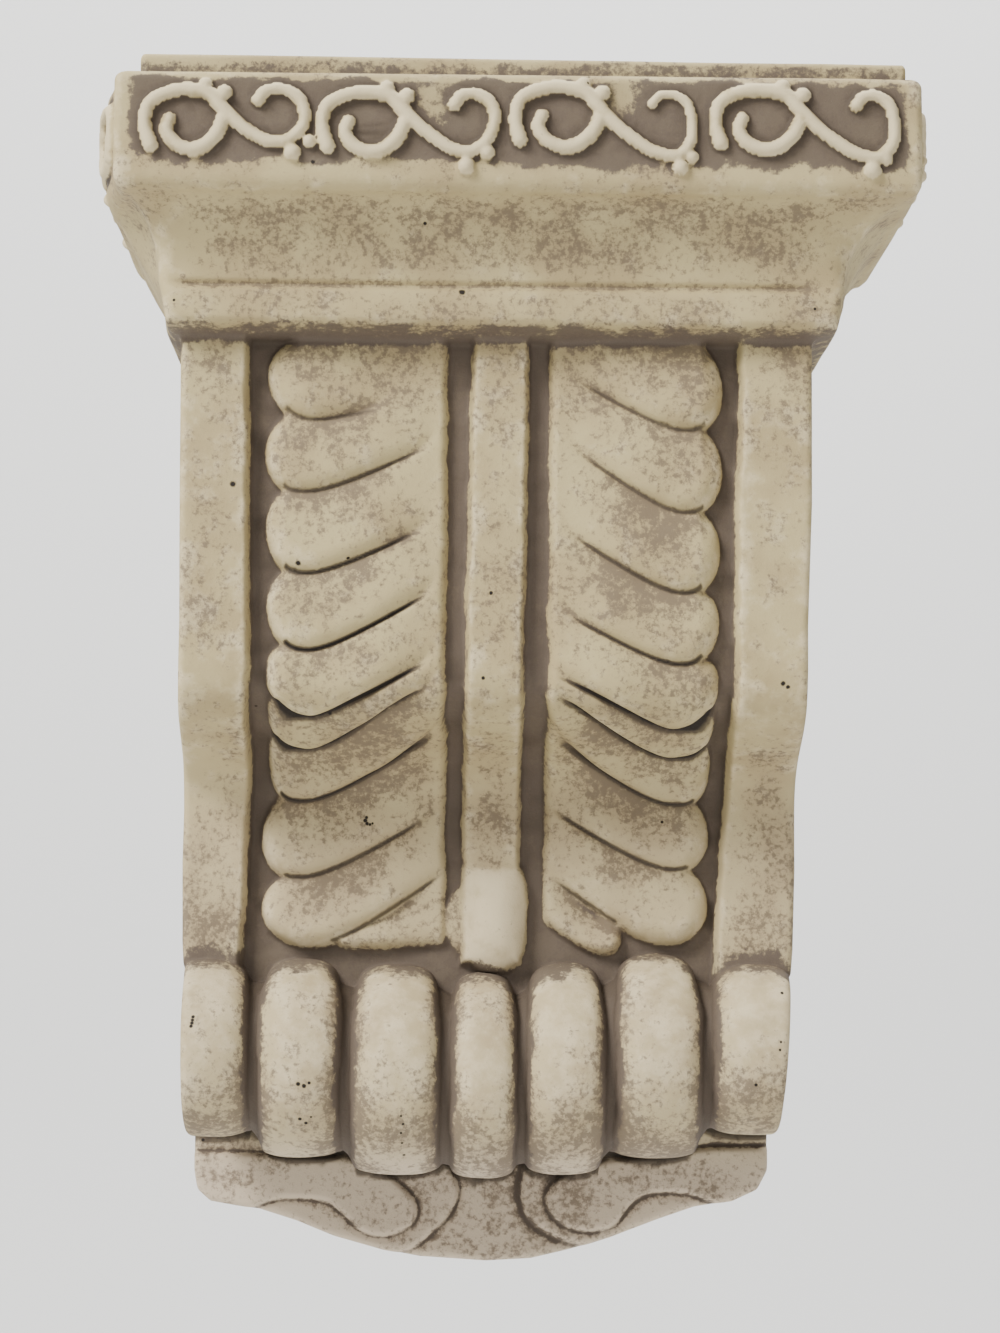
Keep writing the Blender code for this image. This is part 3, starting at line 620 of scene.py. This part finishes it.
def crown_front():
    """Front of the moulded top, and a mask of what stands up from the frieze's ground."""
    z, out, edge_l, edge_r, radius = crown_profile()
    x, back = front_columns(edge_l, edge_r, radius)
    zz = np.repeat(z[:, None], x.shape[1], axis=1)
    depth = BODY_DEPTH + out[:, None] - back
    band = (zz < Z_ABACUS_TOP - 0.6) & (zz > Z_ABACUS_BOTTOM + 3.0)
    frieze = np.zeros(x.shape)
    for cx, cz, *shape in FRONT_MOTIFS:
        frieze = np.maximum(frieze, motif_height(x - cx, zz - cz, *shape))
    depth = depth + np.where(band, frieze, 0)
    uneven = 0.3 * wobble(x, zz, 24, 11) + 0.12 * wobble(x, zz, 7, 12)
    groove = bell(zz - 95.1, 0.75) * step(-82, -75, x) * (1 - step(72, 82, x))
    depth = depth + uneven * np.where(back > 0, 0.3, 1) - 1.5 * groove
    # the top edge sinks a little towards the right
    zz = zz - TOP_SINK * top_share(x) * step(146.5, 149.5, zz)
    return (x, depth, zz), np.where(band, np.clip(frieze, 0, 1), 0)


def body_front():
    """Front of the body, down to where each column meets the roll."""
    grid_x = np.linspace(-80, 80, 641)
    grid_s = np.arange(length_at(-50), length_at(-97), 0.25)
    gx, gs = np.meshgrid(grid_x, grid_s)
    relief = body_relief(gx, gs)[0]
    gd, gz = face_at(gs, relief)
    dc, zc, rr, _ = roll_shape(grid_x, 0.0)
    inside = np.hypot(gd - dc, gz - zc) < rr
    inside[-1] = True
    first = np.argmax(inside, axis=0)
    s_end = grid_s[first]
    s_end = np.convolve(np.pad(s_end, 2, mode="edge"), np.ones(5) / 5, mode="valid")
    s_start = 1.0
    s_typical = float(np.median(s_end))
    count = int((s_typical - s_start) / ROW_STEP)
    q = np.linspace(0, 1, count)
    z_q = np.interp(s_start + q * (s_typical - s_start), FACE_S, FACE_Z)
    x, back = body_columns(z_q)
    end = np.interp(x, grid_x, s_end)
    s = s_start + q[:, None] * (s_typical - s_start) + (end - s_typical) * q[:, None] ** 6
    relief, marks = body_relief(x, s)
    depth, zz = face_at(s, relief - back)
    marks.update(relief=relief, start=s, end=end - s)
    return (x, depth, zz), marks


def roll_front(x, depth, zz):
    """The roll, from where it meets the body's last row, round the front to its lowest point."""
    dc, zc, rr, share = roll_shape(x, 0.0)
    start_angle = np.arctan2(zz - zc, depth - dc)
    start_radius = np.hypot(zz - zc, depth - dc)
    count = int(ROLL_TURN * ROLL_MIDDLE_RADIUS / ROW_STEP)
    t = np.linspace(0, 1, count)[1:, None]
    angle = start_angle * (1 - t) + (-math.pi / 2) * t
    x, back = body_columns(-np.linspace(80, 116, count)[1:])
    dc, zc, rr, share = roll_shape(x, t)
    uneven = 0.3 * wobble(x, angle * 26, 14, 21) + 0.12 * wobble(x, angle * 26, 5, 22)
    blend = bell(t, 0.02)
    radius = rr * (1 - blend) + start_radius * blend + uneven - back * 0.8
    depth = dc + radius * np.cos(angle)
    zz = zc + radius * np.sin(angle)
    return (x, depth, zz), {"roll": share, "along": t, "angle": np.degrees(angle)}, (zc - rr)[-1]


def roll_underside(x, d0, z0):
    """The roll's underside, from its lowest row back to the tail."""
    t = np.linspace(0, 1, UNDER_ROWS + 1)[1:, None]
    x = np.repeat(x[None], UNDER_ROWS, axis=0)
    dc, zc, rr, share = roll_shape(x[0])
    rise0, _ = tail_relief(x[0], np.minimum(z0, ROLL_UNDER_Z))
    d1 = TAIL_DEPTH + rise0
    depth = d0 + (d1 - d0) * t
    drop = np.sqrt(np.maximum(0, rr**2 - (depth - dc) ** 2))
    zz = np.minimum(zc - drop, ROLL_UNDER_Z)
    zz = z0 + (zz - z0) * step(0, 0.15, t)
    return x, depth, zz


def tail_face(x_from, z_join, roll_low):
    """The tail's face, down to its lower edge, with masks of its grooves and of the painted shadow under the
    roll.
    """
    count = int(TAIL_LENGTH / ROW_STEP) + 6
    t = np.linspace(0, 1, count)[1:, None]
    x_to, back = front_columns(*(np.full(count - 1, v) for v in (TAIL_LEFT, TAIL_RIGHT, BODY_CORNER)))
    ease = step(0, 0.25, t)
    x = x_from * (1 - ease) + x_to * ease
    bottom = np.interp(x, TAIL_EDGE_X, TAIL_EDGE_Z)
    zz = z_join * (1 - t) + bottom * t
    rise, groove = tail_relief(x, zz)
    # painted shadow on the tail just under the roll
    roll_shadow = 1 - step(1.5, 4.0, roll_low - zz)
    to_edge = np.maximum(0, zz - bottom)
    lip = 2.2 * (1 - rounded(to_edge + 0.25, 2.4))
    depth = TAIL_DEPTH + rise - lip - back * ease
    depth = depth + 0.2 * wobble(x, zz, 12, 31) + 0.1 * wobble(x, zz, 4, 32)
    return (x, depth, zz), {"tail": groove, "roll_shadow": roll_shadow}


def build_front():
    """Front of the corbel as a grid of points (rows down, columns across), with its masks."""
    crown, frieze = crown_front()
    body, body_marks = body_front()
    roll, roll_marks, roll_low = roll_front(*(v[-1] for v in body))
    under = roll_underside(*(v[-1] for v in roll))
    tail, tail_marks = tail_face(under[0][-1], under[2][-1], roll_low)
    # under edge of the tail, back to the wall
    x, depth, zz = tail
    t = np.linspace(0, 1, FOOT_ROWS + 1)[1:, None]
    foot = (np.repeat(x[-1:], FOOT_ROWS, axis=0), depth[-1] * (1 - t), np.repeat(zz[-1:], FOOT_ROWS, axis=0))
    rows = (crown, body, roll, under, tail, foot)
    xs, ds, zs = (np.vstack(part) for part in zip(*rows))
    masks = {"frieze": frieze, "body": body_marks, "counts": [r[0].shape[0] for r in rows]}
    return xs, ds, zs, masks | roll_marks | tail_marks


def build_surface():
    """The whole wrapped grid: left side, front, right side, from the wall back to the wall."""
    xf, df, zf, masks = build_front()
    counts = masks["counts"]
    crown = counts[0]
    t = np.linspace(0, 1, SIDE_COLUMNS + 1)[None, :]
    parts = []
    for side, column, kept in ((-1, 0, slice(None, -1)), (1, -1, slice(1, None))):
        bx, bd, bz = xf[:, column], df[:, column], zf[:, column]
        # heights at the wall run evenly with the length of the outline, down to the tail
        length = np.concatenate([[0.0], np.cumsum(np.hypot(np.diff(bd), np.diff(bz)))])
        wall_z = bz.copy()
        low = crown + counts[1] - ROWS_ABOVE_ROLL
        join = sum(counts[:4])
        share = (length[low:join] - length[low]) / (length[join - 1] - length[low])
        wall_z[low:join] = bz[low] + (bz[join - 1] - bz[low]) * share
        # the lines to the wall stay clear of the hollow behind the roll
        for k in range(low, join - 1):
            gap = bd[k] - bd[k + 1 : join]
            need = bz[k] + (bz[k + 1 : join] - bz[k]) * bd[k] / np.maximum(gap, 0.3)
            wall_z[k] = max([wall_z[k], *need[gap > 0.3]])
        wall_z[low:join] = np.maximum.accumulate(wall_z[low:join][::-1])[::-1]
        y = bd[:, None] * (1 - t)
        z = bz[:, None] * (1 - t) + wall_z[:, None] * t
        # the moulded top's sides run straight down at the wall
        chord_z, chord_x = WALL_LEFT if side < 0 else WALL_RIGHT
        flare = np.zeros(len(bz))
        flare[:crown] = np.maximum(0, side * (np.interp(bz[:crown], chord_z, chord_x) - bx[:crown]))
        flare[:crown][bz[:crown] > Z_ABACUS_TOP + 0.1] = 0.5
        flare = np.convolve(np.pad(flare, 4, mode="edge"), np.ones(9) / 9, mode="valid")
        x = bx[:, None] + side * flare[:, None] * step(0, 0.3, t)
        lift = np.zeros(x.shape)
        for centre in SIDE_MOTIFS:
            u = side * (y[:crown] - centre)
            motif = motif_height(u, z[:crown] - SIDE_MOTIF_Z, *SIDE_MOTIF_SHAPE)
            lift[:crown] = np.maximum(lift[:crown], motif)
        band = (z < Z_ABACUS_TOP - 2.0) & (z > Z_ABACUS_BOTTOM + 3.0)
        lift = np.where(band, lift, 0) * step(0, 3, y)
        raised = np.clip(lift, 0, 1)
        uneven = 0.25 * wobble(y, z, 20, 41 + side) * step(0, 6, y) * step(0, 0.04, t)
        x = x + side * (lift + uneven)
        # the column that the side shares with the front is left out
        parts.append([(v[:, ::-1] if side < 0 else v)[:, kept] for v in (x, y, z, raised)])
    left, right = parts
    masks["raised"] = (left[3], right[3])
    xs, ys, zs = (np.hstack(row) for row in zip(left, (xf, df, zf), right))
    return np.stack([xs, -ys, zs], axis=-1), masks


def blur(field, sigma):
    """Gaussian blur of a grid along both of its axes, the ends held."""
    reach = int(3 * sigma + 1)
    weights = np.exp(-0.5 * (np.arange(-reach, reach + 1) / sigma) ** 2)
    weights /= weights.sum()
    out = field
    for axis in (0, 1):
        pad = [(0, 0)] * out.ndim
        pad[axis] = (reach, reach)
        padded = np.pad(out, pad, mode="edge")
        size = out.shape[axis]
        out = sum(w * np.take(padded, np.arange(k, k + size), axis=axis) for k, w in enumerate(weights))
    return out


def grid_normals(points):
    across = np.gradient(points, axis=1)
    down = np.gradient(points, axis=0)
    normal = np.cross(down, across)
    return normal / np.maximum(1e-9, np.linalg.norm(normal, axis=-1, keepdims=True))


# Air holes and chips, painted near black as the shade inside them: picture position and radius in
# millimetres; longer ones are rows of small ones
HOLES = (
    (233, 484, 0.85), (298, 563, 0.8), (348, 558, 0.5), (462, 292, 0.8), (425, 223.5, 0.5),
    (313, 162, 0.6), (330, 713, 0.5), (483, 678, 0.5), (491, 593, 0.5), (783, 683.5, 0.65),
    (788, 687, 0.55), (662, 822, 0.45), (203, 1140, 0.5), (782, 993, 0.45), (756, 1085, 0.5),
    (818, 608, 0.45), (366.5, 817.5, 0.5), (365.5, 820.5, 0.6), (367, 823.5, 0.55),
    (370, 824.5, 0.45), (372.5, 823.5, 0.35), (193, 1017, 0.5), (192.4, 1020, 0.55),
    (192, 1023, 0.55), (191, 1026, 0.5), (298, 1084, 0.6), (304, 1086, 0.6), (309, 1083, 0.45),
    (300, 1119, 0.5), (306, 1123, 0.5), (311, 1117, 0.35), (401, 1116, 0.35), (403, 1124, 0.4),
    (401, 1133, 0.35), (402, 1143, 0.35), (404, 1155, 0.45), (781, 1042, 0.35), (780, 1050, 0.35),
    (815, 309, 0.45), (161, 293, 0.4), (174, 300, 0.4), (256, 706, 0.4), (589, 77, 0.35),
    (588, 83, 0.35),
)
# Widths in millimetres over which hollows are measured
HOLLOW_WIDTHS = {"fine": 0.9, "mid": 2.4, "broad": 6.0}


def surface_fields(points, masks):
    """What steers the material at each point: hollows, wash, painted shade in creases, mottled and raised
    places.
    """
    rows, columns = points.shape[:2]
    normals = grid_normals(points)
    cavity = {
        name: np.sum((blur(points, width / ROW_STEP) - points) * normals, axis=-1)
        for name, width in HOLLOW_WIDTHS.items()
    }
    side = SIDE_COLUMNS
    front = slice(side, columns - side)
    starts = np.concatenate([[0], np.cumsum(masks["counts"])])
    crown, body, roll, under, tail = (slice(starts[k], starts[k + 1]) for k in range(5))
    wash, crease, upper, raised = np.zeros((4, rows, columns))
    x, y, z = np.moveaxis(points, -1, 0)
    ragged = 1.3 * wobble(x, z, 5, 51) + 0.9 * wobble(x, z, 2.2, 52)

    # moulded top
    left, right = masks["raised"]
    raised[crown] = np.hstack([left[crown], masks["frieze"], right[crown]])
    on_crown = np.arange(rows)[:, None] < starts[1]
    band = step(120.0, 123.5, z + 1.4 * ragged) * (1 - step(142.0, 144.4, z + 0.8 * ragged))
    middle = x * (y < -90) + ragged
    band = band * on_crown * step(-93.0, -88.5, middle) * (1 - step(98.5, 103.0, middle))
    rubbed = sum(bell(np.hypot((x - a) / 4.5, (z - b) / 6.0), 1.0) for a, b in RUBBED)
    # the frieze's ground: its wash, darker beside the stems, and painted shade over it, darkest next to the
    # stems
    near = np.clip(2.4 * blur(raised, 1.5 / ROW_STEP), 0, 1) * (1 - raised)
    frieze = 0.9 + 0.2 * near + 0.12 * wobble(x + y, z, 9, 53) - 0.7 * rubbed
    close = np.clip(2.4 * blur(raised, 1.0 / ROW_STEP), 0, 1) * (1 - raised)
    crease = np.maximum(crease, (0.22 + 0.4 * close) * band * (1 - raised))
    strip = step(144.2, 145.0, z) * (1 - step(147.6, 150.0, z + 0.5 * ragged)) * on_crown
    # the bead's lower part, which faces down, takes the wash: partly wash, partly painted shade
    bead_foot = (1 - step(84.6, 87.6, z + 0.5 * ragged)) * on_crown
    wash = np.maximum.reduce([wash, frieze * band * (1 - raised), 0.58 * strip, 0.65 * bead_foot])
    for name in cavity:
        cavity[name] = cavity[name] * (1 - 0.8 * step(144.0, 144.8, z) * on_crown)
    cove = step(96.5, 102.0, z) * (1 - step(112.5, 115.5, z)) * (1 - 0.7 * step(62, 84, np.abs(x - 2)))
    cove = 0.45 * (cove * on_crown) * (0.5 + 0.5 * step(98, 108, z))
    bead = step(84.5, 88.0, z) * (1 - step(92.0, 95.0, z)) * on_crown
    upper = np.maximum.reduce([upper, cove, 0.45 * bead])

    # body
    at = body, front
    marks = masks["body"]
    hollow = np.clip((-marks["relief"] - 3.5) / 1.3, 0, 1)
    outer = step(38, 47, np.abs(x[at])) * step(-66, -60, z[at])
    under_bead = 1 - step(0.5, 4.0, marks["start"] + 0.6 * ragged[at])
    foot = 1 - step(1.0, 6.0, marks["end"] + 0.8 * ragged[at])
    wash[at] = np.maximum(hollow * (0.85 + 0.15 * outer), np.maximum(under_bead, 0.75 * foot))
    streaks = 0.16 * outer + 0.14 + 0.2 * wobble(x[at], z[at], 3.5, 54)
    # painted shade: the shadow lines under the lobes, and streaks of shade over the wash in the channels
    crease[at] = np.maximum(marks["crease"], hollow * np.maximum(streaks, 0))
    calm = 1 - 0.45 * step(-18, -40, z[at])
    upper[at] = np.maximum(marks["upper"] * calm, marks["flat"])
    raised[at] = np.maximum(marks["pale"], 0.6 * marks["rim"])

    # roll and tail: the reeds are paler on their upper part and more washed and mottled on their lower half
    # and underside, partly wash and partly painted highlight above and painted shade below
    at = roll, front
    reed, along = masks["roll"], masks["along"]
    groove = 1 - step(0.25, 0.9, reed + 0.06 * ragged[at])
    wash[at] = np.maximum(groove, 0.8 * step(38, 74, masks["angle"] + 7 * ragged[at]))
    # painted shade at the bottoms of the grooves between the reeds
    crease[at] = 0.22 * (1 - step(0.1, 0.6, reed)) + 0.16 * (1 - step(0.0, 0.2, reed))
    spots = 0.3 + 0.4 * wobble(x[at], z[at], 9, 55)
    upper[at] = 0.65 * step(0.3, 0.7, along) + 0.6 * (1 - step(0.6, 0.97, reed)) + spots
    raised[at] = 0.6 * step(0.5, 0.95, reed) * (1 - 0.7 * step(0.4, 0.85, along))
    wash[under, front] = 0.8
    wash[tail, front] = 0.75 * masks["tail"]
    # painted shade along the tail's grooves and just under the roll
    crease[tail, front] = np.maximum(0.4 * masks["tail"] ** 2, masks["roll_shadow"])
    upper[tail, front] = 0.4
    return {"wash": blur(wash, 0.8), "crease": crease, "upper": blur(upper, 1.5), **cavity, "raised": raised}


def make_mesh():
    """The closed fine mesh, its vertices in millimetres and the fields that steer the material."""
    points, masks = build_surface()
    rows, columns = points.shape[:2]
    # smoothed a little, apart from the rim
    points[1:-1, 1:-1] = blur(points, 0.7)[1:-1, 1:-1]
    fields = surface_fields(points, masks)

    index = np.arange(rows * columns).reshape(rows, columns)
    quads = np.stack([index[:-1, :-1], index[1:, :-1], index[1:, 1:], index[:-1, 1:]], axis=-1)
    faces = [tuple(f) for f in quads.reshape(-1, 4).tolist()]
    # one flat face closes the back, along both wall columns and the lowest row, and one the top
    back = [*index[:-1, 0], *index[-1, :-1], *index[::-1, -1]]
    faces.append(tuple(int(i) for i in back[::-1]))
    faces.append(tuple(int(i) for i in index[0]))
    vertices = points.reshape(-1, 3)
    mesh = bpy.data.meshes.new("corbel_casting")
    mesh.from_pydata((vertices / 1000.0).tolist(), [], faces)
    mesh.update()
    return mesh, vertices, fields


def finish_mesh(mesh, vertices, fields):
    """The casting: welded, thinned, and with the fields as attributes of its face corners."""
    thing = bpy.data.objects.new("corbel_casting", mesh)
    bpy.context.scene.collection.objects.link(thing)
    weld = thing.modifiers.new("weld", "WELD")
    weld.merge_threshold = 1e-6
    whole = sum(len(p.vertices) - 2 for p in mesh.polygons)
    thin = thing.modifiers.new("thin", "DECIMATE")
    thin.ratio = min(1.0, MOST_TRIANGLES / whole)
    bpy.context.view_layer.update()
    evaluated = thing.evaluated_get(bpy.context.evaluated_depsgraph_get())
    fine = bpy.data.meshes.new_from_object(evaluated)
    thing.modifiers.clear()
    thing.data = fine
    bpy.data.meshes.remove(mesh)
    fine.name = "corbel_casting"

    tree = KDTree(len(vertices))
    for k, place in enumerate((vertices / 1000.0).tolist()):
        tree.insert(place, k)
    tree.balance()
    nearest = np.array([tree.find(v.co)[1] for v in fine.vertices])
    # the back and top are flat, and carry none of the masks of the surface that they close
    closing = []
    for p in fine.polygons:
        spots = [fine.vertices[k].co for k in p.vertices]
        back = p.normal.y > FACING and min(v.y for v in spots) > NEAR_BACK
        top = p.normal.z > FACING and min(v.z for v in spots) > NEAR_TOP
        closing.append(back or top)
        for v in spots:
            if back:
                v.y = 0.0
            elif top:
                v.z = Z_TOP / 1000 - TOP_SINK / 1000 * float(top_share(v.x * 1000))
    fine.update()
    corner = np.empty(len(fine.loops), np.int32)
    fine.loops.foreach_get("vertex_index", corner)
    clear = np.repeat(closing, [p.loop_total for p in fine.polygons])
    for name, field in fields.items():
        layer = fine.attributes.new(name, "FLOAT", "CORNER")
        values = np.where(clear, 0.0, field.reshape(-1)[nearest][corner])
        layer.data.foreach_set("value", values.astype(np.float32))
    fine.polygons.foreach_set("use_smooth", [not flat for flat in closing])
    return thing


# ---- material
class Nodes:
    """Short forms for building a node material."""

    def __init__(self, name):
        self.material = bpy.data.materials.new(name)
        self.material.use_nodes = True
        self.tree = self.material.node_tree
        self.shader = self.tree.nodes["Principled BSDF"]

    def new(self, kind, **settings):
        node = self.tree.nodes.new(kind)
        for key, value in settings.items():
            setattr(node, key, value)
        return node

    def link(self, source, target):
        self.tree.links.new(source, target)

    def put(self, target, value):
        if isinstance(value, bpy.types.NodeSocket):
            self.link(value, target)
        else:
            target.default_value = value

    def math(self, operation, a, b):
        node = self.new("ShaderNodeMath", operation=operation)
        self.put(node.inputs[0], a)
        self.put(node.inputs[1], b)
        return node.outputs[0]

    def add(self, first, *others):
        for other in others:
            first = self.math("ADD", first, other)
        return first

    def largest(self, a, b):
        return self.math("MAXIMUM", a, b)

    def minus(self, a, b):
        return self.math("SUBTRACT", a, b)

    def times(self, a, b):
        return self.math("MULTIPLY", a, b)

    def attributes(self, *names):
        return [self.new("ShaderNodeAttribute", attribute_name=name).outputs["Fac"] for name in names]

    def spread(self, value, low, high, out_low=0.0, out_high=1.0):
        node = self.new("ShaderNodeMapRange", interpolation_type="SMOOTHSTEP", clamp=True)
        for socket, number in zip(node.inputs, (value, low, high, out_low, out_high)):
            self.put(socket, number)
        return node.outputs[0]

    def noise(self, place, scale, detail=4.0, roughness=0.6):
        node = self.new("ShaderNodeTexNoise")
        self.link(place, node.inputs["Vector"])
        for key, value in (("Scale", scale), ("Detail", detail), ("Roughness", roughness)):
            node.inputs[key].default_value = value
        return node.outputs["Fac"]

    def mix(self, share, a, b):
        node = self.new("ShaderNodeMix", data_type="RGBA")
        for socket, value in ((0, share), (6, a), (7, b)):
            self.put(node.inputs[socket], value)
        return node.outputs[2]


def hole_places(thing):
    """Where the line of sight of each hole meets the casting, with its radius, in metres."""
    bpy.context.view_layer.update()
    places = []
    for u, v, radius in HOLES:
        hit, place, _, _ = thing.ray_cast(EYE, (TURN @ line_of_sight(u, v)).normalized())
        if hit:
            places.append((tuple(place), radius / 1000.0))
    return places


def plaster(holes):
    """Aged plaster: cream, mottled, with a grey-brown wash in the hollows, painted shade in its creases, and
    its air holes.
    """
    n = Nodes("aged_plaster")
    place = n.new("ShaderNodeTexCoord").outputs["Object"]
    wash, crease, upper = n.attributes("wash", "crease", "upper")
    fine, mid, broad, raised = n.attributes("fine", "mid", "broad", "raised")
    cloud = n.noise(place, 45, 3.0, 0.55)
    patch = n.noise(place, 170, 4.0, 0.62)
    speck = n.noise(place, 620, 4.0, 0.72)
    grain = n.noise(place, 2600, 3.0, 0.6)

    cream = (0.45, 0.368, 0.190, 1)
    warm = (0.375, 0.294, 0.150, 1)
    pale = (0.60, 0.505, 0.31, 1)
    rosy = (0.54, 0.44, 0.335, 1)
    dull = (0.26, 0.196, 0.118, 1)
    stain = (0.13, 0.096, 0.066, 1)
    taupe = (0.108, 0.082, 0.062, 1)
    brown = (0.055, 0.040, 0.027, 1)
    dark = (0.014, 0.010, 0.007, 1)

    base = n.mix(n.spread(cloud, 0.36, 0.64), cream, warm)
    # rubbed a little brighter on raised parts, pinker low down
    blotch = n.times(n.minus(patch, 0.5), 1.6)
    edge = n.add(n.times(mid, -0.2), n.times(broad, -0.03), blotch, n.times(raised, 0.5))
    base = n.mix(n.spread(edge, 0.1, 0.7), base, pale)
    split = n.new("ShaderNodeSeparateXYZ")
    n.link(place, split.inputs[0])
    for start, end, share in ((-0.005, -0.045, 0.2), (-0.112, -0.128, 0.8)):
        base = n.mix(n.spread(split.outputs["Z"], start, end, 0.0, share), base, rosy)

    # mottling all over, in small specks gathered in patches
    sunk = n.add(n.times(n.largest(mid, -0.15), 0.3), n.times(n.largest(broad, -0.2), 0.02))
    clouds = n.add(n.times(cloud, 0.75), n.times(patch, 0.8))
    density = n.add(clouds, n.times(upper, 0.33), sunk, n.times(raised, -0.3))
    base = n.mix(n.times(n.spread(density, 0.78, 1.25), 0.42), base, dull)
    blot = n.add(speck, n.times(density, 0.5))
    base = n.mix(n.times(n.spread(blot, 0.90, 1.11), 0.75), base, stain)

    # wash left in the hollows, ragged at its borders; under the bead, beside the frieze's stems and on the
    # roll's lower half it is partly painted shade
    uneven = n.add(n.times(n.minus(patch, 0.5), 0.9), n.times(n.minus(speck, 0.5), 0.9))
    cover = n.add(n.times(wash, 0.95), n.times(sunk, 0.3), n.times(raised, -0.2), uneven)
    base = n.mix(n.times(n.spread(cover, 0.34, 0.64), 0.94), base, taupe)

    # painted shade in creases and fine crevices: brown, and near black in the deepest gaps
    deep = n.add(crease, n.times(n.spread(fine, 0.15, 0.6), 0.08))
    base = n.mix(n.times(n.spread(deep, 0.08, 0.6), 0.85), base, brown)
    base = n.mix(n.times(n.spread(deep, 0.6, 1.2), 0.95), base, dark)

    # air holes and chips, painted near black as the shade inside them
    nearest = 9.0
    for centre, radius in holes:
        gap = n.new("ShaderNodeVectorMath", operation="DISTANCE")
        n.link(place, gap.inputs[0])
        gap.inputs[1].default_value = centre
        nearest = n.math("MINIMUM", n.times(gap.outputs["Value"], 1 / radius), nearest)
    hole = n.spread(n.add(nearest, n.times(n.minus(speck, 0.5), 1.2)), 1.2, 0.6)
    base = n.mix(hole, base, dark)
    n.link(base, n.shader.inputs["Base Color"])

    n.link(n.spread(grain, 0.2, 0.8, 0.66, 0.86), n.shader.inputs["Roughness"])
    n.shader.inputs["Specular IOR Level"].default_value = 0.3

    bump = n.new("ShaderNodeBump")
    bump.inputs["Strength"].default_value = 0.4
    bump.inputs["Distance"].default_value = 0.0006
    n.link(n.add(n.times(speck, 0.55), n.times(grain, 0.25), n.times(patch, 0.9)), bump.inputs["Height"])
    n.link(bump.outputs["Normal"], n.shader.inputs["Normal"])
    return n.material


def plain(name, colour, roughness):
    n = Nodes(name)
    n.shader.inputs["Base Color"].default_value = colour
    n.shader.inputs["Roughness"].default_value = roughness
    return n.material


# ---- the picture's camera
PICTURE = (1000.0, 1333.0)
FOCAL = 3200.0
VANISH = (440.0, 980.0)
ROLL = math.radians(0.45)
EYE = Vector((-0.012549, -0.870, -0.075901))
SENSOR = 36.0


def line_of_sight(u, v):
    """Direction, seen from the camera, to a place in the picture."""
    return Vector(((u - PICTURE[0] / 2) / FOCAL, -(v - PICTURE[1] / 2) / FOCAL, -1.0))


into = line_of_sight(*VANISH).normalized()
up = Vector((math.sin(ROLL), math.cos(ROLL), 0.0))
up = (up - into * up.dot(into)).normalized()
TURN = Matrix((into.cross(up), into, up))

# ---- build
casting = finish_mesh(*make_mesh())
casting.data.materials.clear()
casting.data.materials.append(plaster(hole_places(casting)))
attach(casting, "root")
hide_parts("corbel")

# ---- floor, light and camera
FLOOR_Z = -0.9
BACKDROP_Y = 2.3
BEND = 0.8
HALF_STAGE = 4.5


def studio_sheet():
    """A pale floor that bends up into a pale backdrop, far behind the corbel."""
    line = [(-HALF_STAGE, FLOOR_Z), (BACKDROP_Y - BEND, FLOOR_Z)]
    for k in range(1, 17):
        a = math.radians(90 * k / 16)
        line.append((BACKDROP_Y - BEND + BEND * math.sin(a), FLOOR_Z + BEND - BEND * math.cos(a)))
    line.append((BACKDROP_Y, 2.6))
    points = []
    for y, z in line:
        points += [(-HALF_STAGE, y, z), (HALF_STAGE, y, z)]
    faces = [(2 * k, 2 * k + 1, 2 * k + 3, 2 * k + 2) for k in range(len(line) - 1)]
    mesh = bpy.data.meshes.new("floor")
    mesh.from_pydata(points, [], faces)
    mesh.shade_smooth()
    mesh.materials.append(plain("pale_floor", (0.71, 0.71, 0.70, 1), 0.9))
    sheet = bpy.data.objects.new("floor", mesh)
    bpy.context.scene.collection.objects.link(sheet)


studio_sheet()
world = bpy.data.worlds.new("studio")
bpy.context.scene.world = world
world.use_nodes = True
sky = world.node_tree.nodes["Background"]
sky.inputs["Color"].default_value = (0.98, 0.99, 1.0, 1)
sky.inputs["Strength"].default_value = 0.55


def soft_light(name, place, target, size, power, colour):
    data = bpy.data.lights.new(name, "AREA")
    data.shape = "SQUARE"
    data.size = size
    data.energy = power
    data.color = colour
    lamp = bpy.data.objects.new(name, data)
    bpy.context.scene.collection.objects.link(lamp)
    lamp.location = place
    lamp.rotation_euler = (Vector(target) - Vector(place)).to_track_quat("-Z", "Y").to_euler()


soft_light("key", (-2.05, -1.9, 2.3), (0, -0.05, 0), 1.3, 240, (1.0, 0.985, 0.96))
soft_light("fill", (0.5, -2.4, -0.7), (0, -0.05, -0.05), 1.6, 20, (1.0, 0.985, 0.96))
soft_light("backdrop_light", (0.4, 0.6, 2.4), (0, 2.3, 0.2), 1.2, 110, (1.0, 1.0, 1.0))

camera_data = bpy.data.cameras.new("camera")
camera_data.sensor_width = SENSOR
camera_data.lens = FOCAL / PICTURE[1] * SENSOR
camera = bpy.data.objects.new("camera", camera_data)
bpy.context.scene.collection.objects.link(camera)
camera.matrix_world = Matrix.Translation(EYE) @ TURN.to_4x4()
bpy.context.scene.camera = camera
